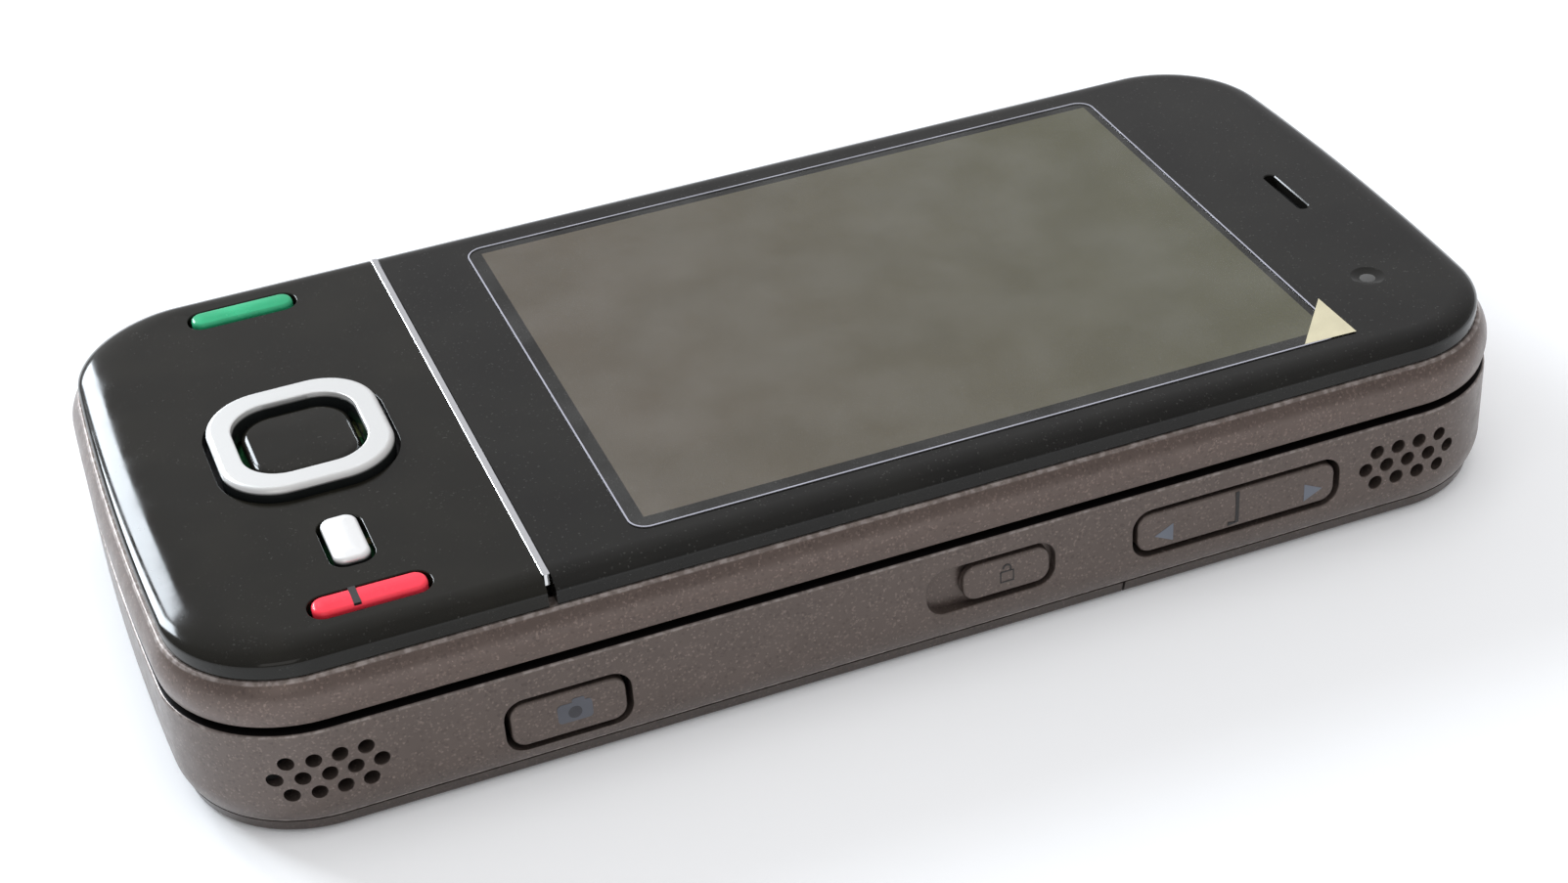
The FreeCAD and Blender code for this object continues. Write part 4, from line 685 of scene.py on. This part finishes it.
def back():
    """Battery cover, and the fixed rear panel with the lens cover's track."""
    cover = back_shell("cover_shell")
    combine(cover, [block("beyond", 60, 80, 6, 0, COVER_END_Y + 40, -1)])
    ribs = [block("rib", 1, 10, 0.3, x, COVER_END_Y - 7, COVER_PLATE) for x in (-12, 0, 12)]
    combine(cover, ribs, "UNION")
    settle(cover, "cover", FINISHES["cover_metal"], ["back_cover"])

    rear = back_shell("rear_shell")
    combine(rear, [block("below", 60, 120, 6, 0, COVER_END_Y + REAR_GAP - 60, -1)])
    combine(rear, [block("pan", 30.1, 13.0, 1.05, TRACK_X, CAMERA_Y, 0.3, radius=1.5)], "UNION")
    track = build("track", rounded(*LENS_TRACK), [(-1, -0.1), (0.0, -0.1), (0.1, 0), (0.75, 0)],
                  at(TRACK_X, CAMERA_Y))
    combine(rear, [track, build("window", disc(3.05), [(0.5, 0), (3, 0)], at(0, CAMERA_Y))])
    settle(rear, "lower_half", FINISHES["cover_metal"], ["rear_panel"])

    plate = build("lens_shutter", rounded(*LENS_PLATE), [(0.05, 0.12), (0.13, 0.03), (0.17, 0), (0.55, 0)],
                  at(0, CAMERA_Y))
    combine(plate, [block("groove", 0.5, 7.4, 0.3, 6.9 - index, CAMERA_Y, -0.05) for index in range(3)])
    settle(plate, "lens_shutter", FINISHES["brown_paint"], ["lens_cover"])


# Upper half

def upper_frame():
    """Painted frame: a round-shouldered side, a floor and a tray."""
    levels = [(FRAME_FOOT, 0.34), (FRAME_FOOT + 0.06, 0.24)]
    levels += [(z, WALL_INSET + UNDERCUT * ((SHOULDER_Z - z) / UNDERCUT_DEPTH) ** 2)
               for z in (9.95, 10.2, 10.5, 10.8, SHOULDER_Z)]
    rise = SHOULDER_END_Z - SHOULDER_Z
    levels += [(z, WALL_INSET + SHOULDER_RADIUS - math.sqrt(SHOULDER_RADIUS ** 2 - (z - SHOULDER_Z) ** 2))
               for z in (SHOULDER_Z + rise * step / 9 for step in range(1, 10))]
    edge = levels[-1][1]
    levels += [(SPLIT_Z - 0.06, edge + 0.07), (SPLIT_Z, edge + 0.16)]
    body = build("frame_shell", phone_outline, levels)
    tray = build("tray", phone_outline, [(FRAME_FLOOR, TRAY_INSET), (16, TRAY_INSET)])
    room = block("room", *TRACK_ROOM, TRACK_TOP - 8, 0, 0, 8, radius=0.6)
    combine(body, [tray, room])
    settle(body, "slider", FINISHES["brown_paint"], ["upper_frame"])


def rolled_outline(inset):
    """The casings' outline, whose foot end draws in further than its sides."""
    rolled = max(inset - PANEL_INSET, 0) / PANEL_BOW * FOOT_ROLL
    for x, y in phone_outline(inset):
        reach = min(max((ROLL_START_Y - y) / ROLL_LENGTH, 0.0), 1.0)
        yield x, y + rolled * reach * reach * (3 - 2 * reach)


def panel_blank(name):
    """Front panel with a bullnose edge, hollow below."""
    levels = [(PANEL_FOOT, PANEL_INSET), (14.05, PANEL_INSET)]
    levels += fillet(PANEL_TOP, PANEL_INSET, PANEL_BOW, 20, 1.05)[1:]
    blank = build(name, rolled_outline, levels)
    inner = PANEL_INSET + PANEL_WALL
    hollow = build(name + "_hollow", phone_outline, [(12, inner), (PANEL_CEILING, inner)])
    return combine(blank, [hollow])


def front_opening(name, width, length, radius, x, y):
    """Hole through the front panel, with a small round-over at its edge."""
    gap = RUNNING_GAP
    return mouth(rounded(width + 2 * gap, length + 2 * gap, radius + gap, 14), name, 2.5,
                 at(x, y, PANEL_TOP), 0.1)


def front_panels():
    """Key panel with its openings, window panel with its slot and dimple, and the strip between."""
    near = panel_blank("key_panel_shell")
    combine(near, [block("beyond", 60, 100, 6, 0, DIVIDER_Y - DIVIDER_GAP + 50, 12)])
    holes = [front_opening("ring_opening", *RING, 0, PAD_Y),
             front_opening("multimedia_opening", MULTIMEDIA[1], MULTIMEDIA[2], FRONT_KEY_RADIUS,
                           MULTIMEDIA[0], PAD_Y)]
    holes += [front_opening("call_opening", CALL[1], CALL[2], FRONT_KEY_RADIUS, side * CALL[0], PAD_Y)
              for side in (-1, 1)]
    combine(near, holes)
    settle(near, "slider", FINISHES["piano_black"], ["key_panel"], 25)

    far = panel_blank("window_shell")
    combine(far, [block("below", 60, 100, 6, 0, DIVIDER_Y + DIVIDER_GAP - 50, 12)])
    x, y, length, width = EARPIECE
    slot = build("earpiece_slot", rounded(length, width, 0.44, 8),
                 [(-2.5, 0), (-0.08, 0), (0, -0.08), (1, -0.08)], at(x, y, PANEL_TOP))
    camera_x, camera_y, radius = FRONT_CAMERA
    dimple = build("dimple", disc(radius, 48),
                   [(PANEL_TOP - 0.25 * math.cos(a) ** 2, radius - radius * math.sin(a))
                    for a in (0.12 + (math.pi / 2 - 0.12) * step / 10 for step in range(11))] + [(16, 0)],
                   at(camera_x, camera_y))
    combine(far, [slot, dimple])
    settle(far, "slider", FINISHES["display_grey"], ["window_panel"], 25)

    strip = build("divider_bar", rounded(46.2, 0.5, 0.1, 3), [(PANEL_TOP - 0.9, 0), (PANEL_TOP - 0.03, 0),
                                                             (PANEL_TOP, 0.05)], at(0, DIVIDER_Y))
    settle(strip, "slider", FINISHES["chrome_trim"], ["divider_strip"])


def direction_pad():
    """Silver ring with a satin face and polished sides carrying a painted dark reflection, and the glossy
    key inside it.
    """
    foot, top = RING_FOOT, RING_TOP
    width, length, radius = RING
    hole_width, hole_length, hole_radius = RING_HOLE
    levels = [(foot, 0), (top - 0.5, 0)] + fillet(top, 0, 0.42, 8, 0.5)[1:]
    ring = build("ring_blank", rounded(width, length, radius, 20), levels, at(0, PAD_Y))
    hole = build("ring_bore", rounded(hole_width, hole_length, hole_radius, 20),
                 [(foot - 1, 0), (top - 0.22, 0), (top - 0.06, -0.06), (top, -0.18), (top + 1, -0.18)],
                 at(0, PAD_Y))
    combine(ring, [hole])
    ring.name = "direction_ring_face"
    settle(ring, "direction_ring", RING_SILVER, ["navi_ring"], 40)
    width, length, radius = SELECT
    top = SELECT_TOP
    key = build("select_dome", rounded(width, length, radius, 20),
                [(KEY_FOOT, 0), (top - 0.55, 0)] + fillet(top - 0.08, 0, 0.75, 8, 0.47)[1:]
                + [(top - 0.03, 1.9), (top, 3.0)], at(0, PAD_Y))
    settle(key, "select", FINISHES["piano_black"], ["select_key"], 40)


def cap(name, width, length, radius, foot, top, where, edge=0.3, crown=0.05):
    """Key cap: upright sides, a rounded edge and a faintly crowned face."""
    middle = min(width, length) / 2
    levels = [(foot, 0), (top - crown - edge, 0)] + fillet(top - crown, 0, edge, 6)[1:]
    levels += [(top - crown * 0.35, edge + (middle - edge) * 0.45), (top, middle * 0.88)]
    return build(name, rounded(width, length, radius, 10), levels, where)


def front_keys():
    """Multimedia key, call key and end key with the break in its face."""
    x, width, length = MULTIMEDIA
    key = cap("multimedia_cap", width, length, FRONT_KEY_RADIUS, KEY_FOOT, MULTIMEDIA_TOP,
              at(x, PAD_Y), 0.35, 0.12)
    settle(key, "multimedia", PEARL, ["multimedia_key"], 40)
    x, width, length = CALL
    for name, side, finish in (("call", -1, "green_key"), ("end", 1, "red_key")):
        key = cap(f"{name}_cap", width, length, FRONT_KEY_RADIUS, KEY_FOOT, CALL_TOP,
                  at(side * x, PAD_Y), 0.3, 0.08)
        settle(key, name, FINISHES[finish], [f"{name}_key"], 40)
    groove = block("end_break", width - 0.1, 0.5, 0.2, x, PAD_Y - 1.0, 15.21)
    settle(groove, "end", DARK_PRINT, (), 0)


def film():
    """Protective film with its tab, and a fine painted highlight line along its edges."""
    place = at(*FILM_PLACE)
    sheet = build("screen_protector", rounded(*FILM),
                  [(PANEL_TOP + 0.004, 0), (PANEL_TOP + 0.07, 0), (PANEL_TOP + 0.08, 0.02)], place)
    settle(sheet, "slider", FINISHES["clear_film"], ["screen_film"])
    # Painted highlight: a pale band round the film's edge
    line = [(PANEL_TOP + 0.06, 0.01), (PANEL_TOP + 0.09, 0.01), (PANEL_TOP + 0.09, 0.13),
            (PANEL_TOP + 0.06, 0.13)]
    edge = build("film_edge_highlight", rounded(*FILM), line, place, ring=True)
    settle(edge, "slider", FILM_EDGE_HIGHLIGHT, (), 0)
    x, y = (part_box("screen_film")[1] / MM).xy
    triangle = polygon([(x, y), (x - 5.2, y - 0.1), (x - 0.15, y - 4.2)])
    tab = build("film_tab", triangle, [(PANEL_TOP + 0.085, 0), (PANEL_TOP + 0.1, 0)])
    settle(tab, "slider", TAB, (), 0)


def side_keys():
    """Camera key, volume rocker, lock and power key, each a little back from the wall."""
    for body, node, y, z, length, height in (CAMERA_KEY, VOLUME_KEY):
        key = cap(f"{node}_cap", length, height, SIDE_RADIUS, -2.2, 0, at(KEY_FACE_X, y, z, TO_RIGHT),
                  0.22, 0.03)
        settle(key, body, FINISHES["lower_paint"], [node], 40)
    lock = cap("lock_cap", LOCK_LENGTH, LOCK_HEIGHT, SIDE_RADIUS, -0.55, 0,
               at(KEY_FACE_X, LOCK_Y, LOCK_Z, TO_RIGHT), 0.2, 0.03)
    settle(lock, "lock", FINISHES["lower_paint"], ["lock_slider"], 40)
    place = at(0, HALF_LENGTH - 0.15, POWER_Z, TO_EARPIECE)
    power = cap("power_cap", *POWER_KEY, -2.0, 0, place, 0.25, 0.03)
    settle(power, "power", FINISHES["lower_paint"], ["power_key"], 40)


def stroke(points, width):
    """Outline function of a line of even width along the points."""
    left, right = [], []
    for index, point in enumerate(points):
        before = Vector(points[max(index - 1, 0)])
        after = Vector(points[min(index + 1, len(points) - 1)])
        along = (after - before).normalized() * width / 2
        left.append((point[0] - along.y, point[1] + along.x))
        right.append((point[0] + along.y, point[1] - along.x))
    return polygon(list(reversed(left)) + right)


def side_print(name, outline, body, finish, y, z, depth=0.016):
    """Printed or engraved mark on the face of a side key."""
    mark = build(name, outline, [(-0.02, 0), (depth, 0)], at(KEY_FACE_X, y, z, TO_RIGHT))
    settle(mark, body, finish, (), 0)


def side_marks():
    """Arrows and middle mark on the volume key, and the camera and padlock signs."""
    for name, y, tip in (("lower_arrow", 20.0, -0.75), ("upper_arrow", 32.3, 0.75)):
        arrow = [(tip, 0), (-tip, tip), (-tip, -tip)]
        side_print(f"volume_{name}", polygon(arrow), "volume", PRINT, y, 5.0)
    hook = stroke([(0, 1.45), (0, -1.2), (-0.75, -1.2)], 0.3)
    side_print("volume_middle_line", hook, "volume", DARK_PRINT, 26.0, 5.4)
    side_print("shutter_icon_body", rounded(2.5, 1.6, 0.3, 4), "camera_shutter", ICON, -24.9, 4.6)
    side_print("shutter_icon_finder", rounded(0.9, 0.5, 0.15, 3), "camera_shutter", ICON, -24.6, 5.45,
               0.012)
    side_print("shutter_icon_lens", disc(0.5, 20), "camera_shutter", MARK_GREY, -24.9, 4.55, 0.022)
    corners = [(-0.5, 0.3), (-0.5, -0.6), (0.5, -0.6), (0.5, 0.3), (-0.5, 0.3)]
    side_print("lock_icon_body", stroke(corners, 0.13), "lock", DARK_PRINT, LOCK_Y, LOCK_Z)
    shackle = [(0.3, 0.3)] + arc_points((0, 0.55), 0.3, 0, math.pi, 8, True)
    side_print("lock_icon_shackle", stroke(shackle, 0.13), "lock", DARK_PRINT, LOCK_Y, LOCK_Z)


# Sign on each number key, and outlines of the signs on each music key
NUMBER_KEYS = {"1": "1", "2": "2", "3": "3", "4": "4", "5": "5", "6": "6", "7": "7", "8": "8", "9": "9",
               "star": "*", "0": "0", "hash": "#"}


def lettered(name, text, size, x, y, z):
    """Flat figure standing a little proud of a key."""
    curve = bpy.data.curves.new(name, "FONT")
    curve.body = text
    curve.size = size
    curve.align_x = "CENTER"
    curve.align_y = "CENTER"
    curve.extrude = 0.01
    curve.resolution_u = 4
    holder = bpy.data.objects.new(name, curve)
    bpy.context.scene.collection.objects.link(holder)
    data = evaluated(holder)
    bpy.data.objects.remove(holder)
    data.transform(Matrix.Scale(MM, 4) @ at(x, y, z))
    result = bpy.data.objects.new(name, data)
    bpy.context.scene.collection.objects.link(result)
    return result


def number_keys():
    """Crowned cap and figure of each number key."""
    for key, text in NUMBER_KEYS.items():
        low, high = (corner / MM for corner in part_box(f"key_{key}"))
        x, y, top = (low.x + high.x) / 2, (low.y + high.y) / 2, high.z
        keycap = cap(f"number_{key}_cap", *NUMBER_CAP, low.z, top - 0.03, at(x, y), 0.35, 0.16)
        settle(keycap, f"key_{key}_body", FINISHES["key_black"], [f"key_{key}"], 40)
        figure = lettered(f"number_{key}_figure", text, 3.6, x, y, top - 0.02)
        settle(figure, f"key_{key}_body", LEGEND, (), 0)


MEDIA_SIGNS = {
    "rewind": [[(-1.3, 0), (-0.05, 0.8), (-0.05, -0.8)], [(0.0, 0), (1.25, 0.8), (1.25, -0.8)]],
    "play": [[(-1.1, 0.8), (0.2, 0), (-1.1, -0.8)], [(0.45, 0.8), (0.75, 0.8), (0.75, -0.8), (0.45, -0.8)],
             [(1.05, 0.8), (1.35, 0.8), (1.35, -0.8), (1.05, -0.8)]],
    "stop": [[(-0.7, 0.7), (0.7, 0.7), (0.7, -0.7), (-0.7, -0.7)]],
    "forward": [[(1.3, 0), (0.05, 0.8), (0.05, -0.8)], [(0.0, 0), (-1.25, 0.8), (-1.25, -0.8)]],
}


def media_keys():
    """Crowned cap and sign of each music key."""
    for key, shapes in MEDIA_SIGNS.items():
        node = f"media_key_{key}"
        low, high = (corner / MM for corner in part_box(node))
        x, y, top = (low.x + high.x) / 2, (low.y + high.y) / 2, high.z
        keycap = cap(f"music_{key}_cap", *MUSIC_CAP, low.z, top - 0.03, at(x, y), 0.3, 0.14)
        settle(keycap, f"{node}_body", FINISHES["key_black"], [node], 40)
        for index, shape in enumerate(shapes):
            sign = build(f"music_{key}_sign_{index}", polygon(shape), [(top - 0.06, 0), (top - 0.012, 0)],
                         at(x, y))
            settle(sign, f"{node}_body", LEGEND, (), 0)


def fittings():
    """Dark cloth behind the sound holes and the earpiece slot, and the front camera's lens."""
    for name, middle in (("foot", SOUND_Y[0]), ("top", SOUND_Y[1])):
        inner_x = HALF_WIDTH - HOUSING_WALL - 0.22
        cloth = block(f"sound_cloth_{name}", 9.6, 4.4, 0.2, inner_x, middle, SOUND_Z, TO_RIGHT, 0.4)
        settle(cloth, "lower_half", MESH_CLOTH)
    x, y, length, width = EARPIECE
    grille = block("earpiece_cloth", length + 0.8, width + 0.6, 0.15, x, y, PANEL_CEILING - 0.18)
    settle(grille, "slider", MESH_CLOTH)
    x, y, _ = FRONT_CAMERA
    lens = build("front_lens", disc(0.62, 32),
                 [(PANEL_TOP - 0.3, 0), (PANEL_TOP - 0.2, 0), (PANEL_TOP - 0.17, 0.12)], at(x, y))
    settle(lens, "slider", LENS_GREY)


def table_top():
    """Pale table top that stays white behind the phone and still takes its shadow."""
    plane = bpy.data.meshes.new("table_top")
    reach = 3.0
    low = -0.05 * MM
    corners = [(x * reach, y * reach, low) for x, y in ((-1, -1), (1, -1), (1, 1), (-1, 1))]
    plane.from_pydata(corners, [], [(0, 1, 2, 3)])
    table = bpy.data.objects.new("table_top", plane)
    bpy.context.scene.collection.objects.link(table)
    finish = Finish("table_white", (0.86, 0.875, 0.89), 0.7)
    finish.paint(finish.mix(finish.noise(0.02, 3.0), (0.85, 0.865, 0.88), (0.88, 0.89, 0.9)))
    rays = finish.node("ShaderNodeLightPath")
    mirrored = finish.math("MAXIMUM", rays.outputs["Is Glossy Ray"], rays.outputs["Is Transmission Ray"])
    seen = finish.math("MAXIMUM", rays.outputs["Is Camera Ray"], mirrored)
    finish.shader.inputs["Emission Color"].default_value = (0.95, 0.97, 1.0, 1)
    finish.put(finish.shader.inputs["Emission Strength"], finish.math("MULTIPLY", seen, 0.12))
    plane.materials.append(finish.material)


def surroundings():
    """Grey studio, brighter where the front panel mirrors it."""
    world = bpy.data.worlds.new("studio")
    bpy.context.scene.world = world
    world.use_nodes = True
    tree = world.node_tree
    sky = tree.nodes["Background"]
    place = tree.nodes.new("ShaderNodeTexCoord")
    split = tree.nodes.new("ShaderNodeSeparateXYZ")
    tree.links.new(place.outputs["Generated"], split.inputs[0])
    ramp = tree.nodes.new("ShaderNodeValToRGB")
    tree.links.new(split.outputs["Z"], ramp.inputs[0])
    stops = [(0.0, 0.45), (0.1, 0.4), (0.3, 0.34), (0.6, 0.4), (1.0, 0.45)]
    while len(ramp.color_ramp.elements) < len(stops):
        ramp.color_ramp.elements.new(0.5)
    for element, (position, value) in zip(ramp.color_ramp.elements, stops):
        element.position = position
        element.color = (value, value, value * 1.03, 1)
    facing = tree.nodes.new("ShaderNodeVectorMath")
    facing.operation = "DOT_PRODUCT"
    tree.links.new(place.outputs["Generated"], facing.inputs[0])
    facing.inputs[1].default_value = (-0.78, 0.27, 0.56)
    glow = tree.nodes.new("ShaderNodeMapRange")
    tree.links.new(facing.outputs["Value"], glow.inputs["Value"])
    for name, number in (("From Min", 0.6), ("From Max", 1.0), ("To Min", 1.0), ("To Max", 1.6)):
        glow.inputs[name].default_value = number
    tree.links.new(ramp.outputs[0], sky.inputs["Color"])
    tree.links.new(glow.outputs["Result"], sky.inputs["Strength"])


def lights():
    """Two upright panes at the foot end, a soft ceiling and a weak fill."""
    lamps = [
        ("window_left", (-0.70, -0.52, 0.42), (0.2, 0.4), 6.0, (0.86, 0.93, 1.0)),
        ("window_right", (-0.86, -0.30, 0.42), (0.2, 0.4), 4.4, (0.86, 0.93, 1.0)),
        ("ceiling", (0.15, 0.1, 1.1), (1.2, 1.2), 7.0, (1.0, 0.985, 0.97)),
        ("fill", (1.0, -0.5, 0.6), (0.6, 0.6), 1.0, (1.0, 0.98, 0.96)),
    ]
    for name, place, size, power, colour in lamps:
        lamp = bpy.data.lights.new(name, "AREA")
        lamp.shape = "RECTANGLE"
        lamp.size, lamp.size_y = size
        lamp.energy = power
        lamp.color = colour
        holder = bpy.data.objects.new(name, lamp)
        holder.location = place
        holder.visible_glossy = name != "ceiling"
        holder.rotation_euler = (-Vector(place)).to_track_quat("-Z", "Y").to_euler()
        bpy.context.scene.collection.objects.link(holder)


def camera():
    """Camera at the photograph's viewing angle."""
    azimuth, elevation, roll = (math.radians(a) for a in VIEW_ANGLES)
    target = Vector(VIEW_TARGET) * MM
    distance = VIEW_DISTANCE * MM
    back_axis = Vector((math.sin(azimuth) * math.cos(elevation), -math.cos(azimuth) * math.cos(elevation),
                        math.sin(elevation)))
    level = Vector((0, 0, 1)).cross(back_axis).normalized()
    upright = back_axis.cross(level)
    right = level * math.cos(roll) + upright * math.sin(roll)
    above = upright * math.cos(roll) - level * math.sin(roll)
    data = bpy.data.cameras.new("camera")
    data.sensor_width = 36
    data.lens = LENS_LENGTH
    data.clip_start = 0.01
    holder = bpy.data.objects.new("camera", data)
    holder.matrix_world = Matrix.Translation(target + back_axis * distance) @ Matrix(
        (right, above, back_axis)).transposed().to_4x4()
    bpy.context.scene.collection.objects.link(holder)
    bpy.context.scene.camera = holder


lower_housing()
back()
upper_frame()
front_panels()
direction_pad()
front_keys()
film()
side_keys()
side_marks()
number_keys()
media_keys()
fittings()
table_top()
surroundings()
lights()
camera()

bpy.context.scene.view_settings.view_transform = "Standard"
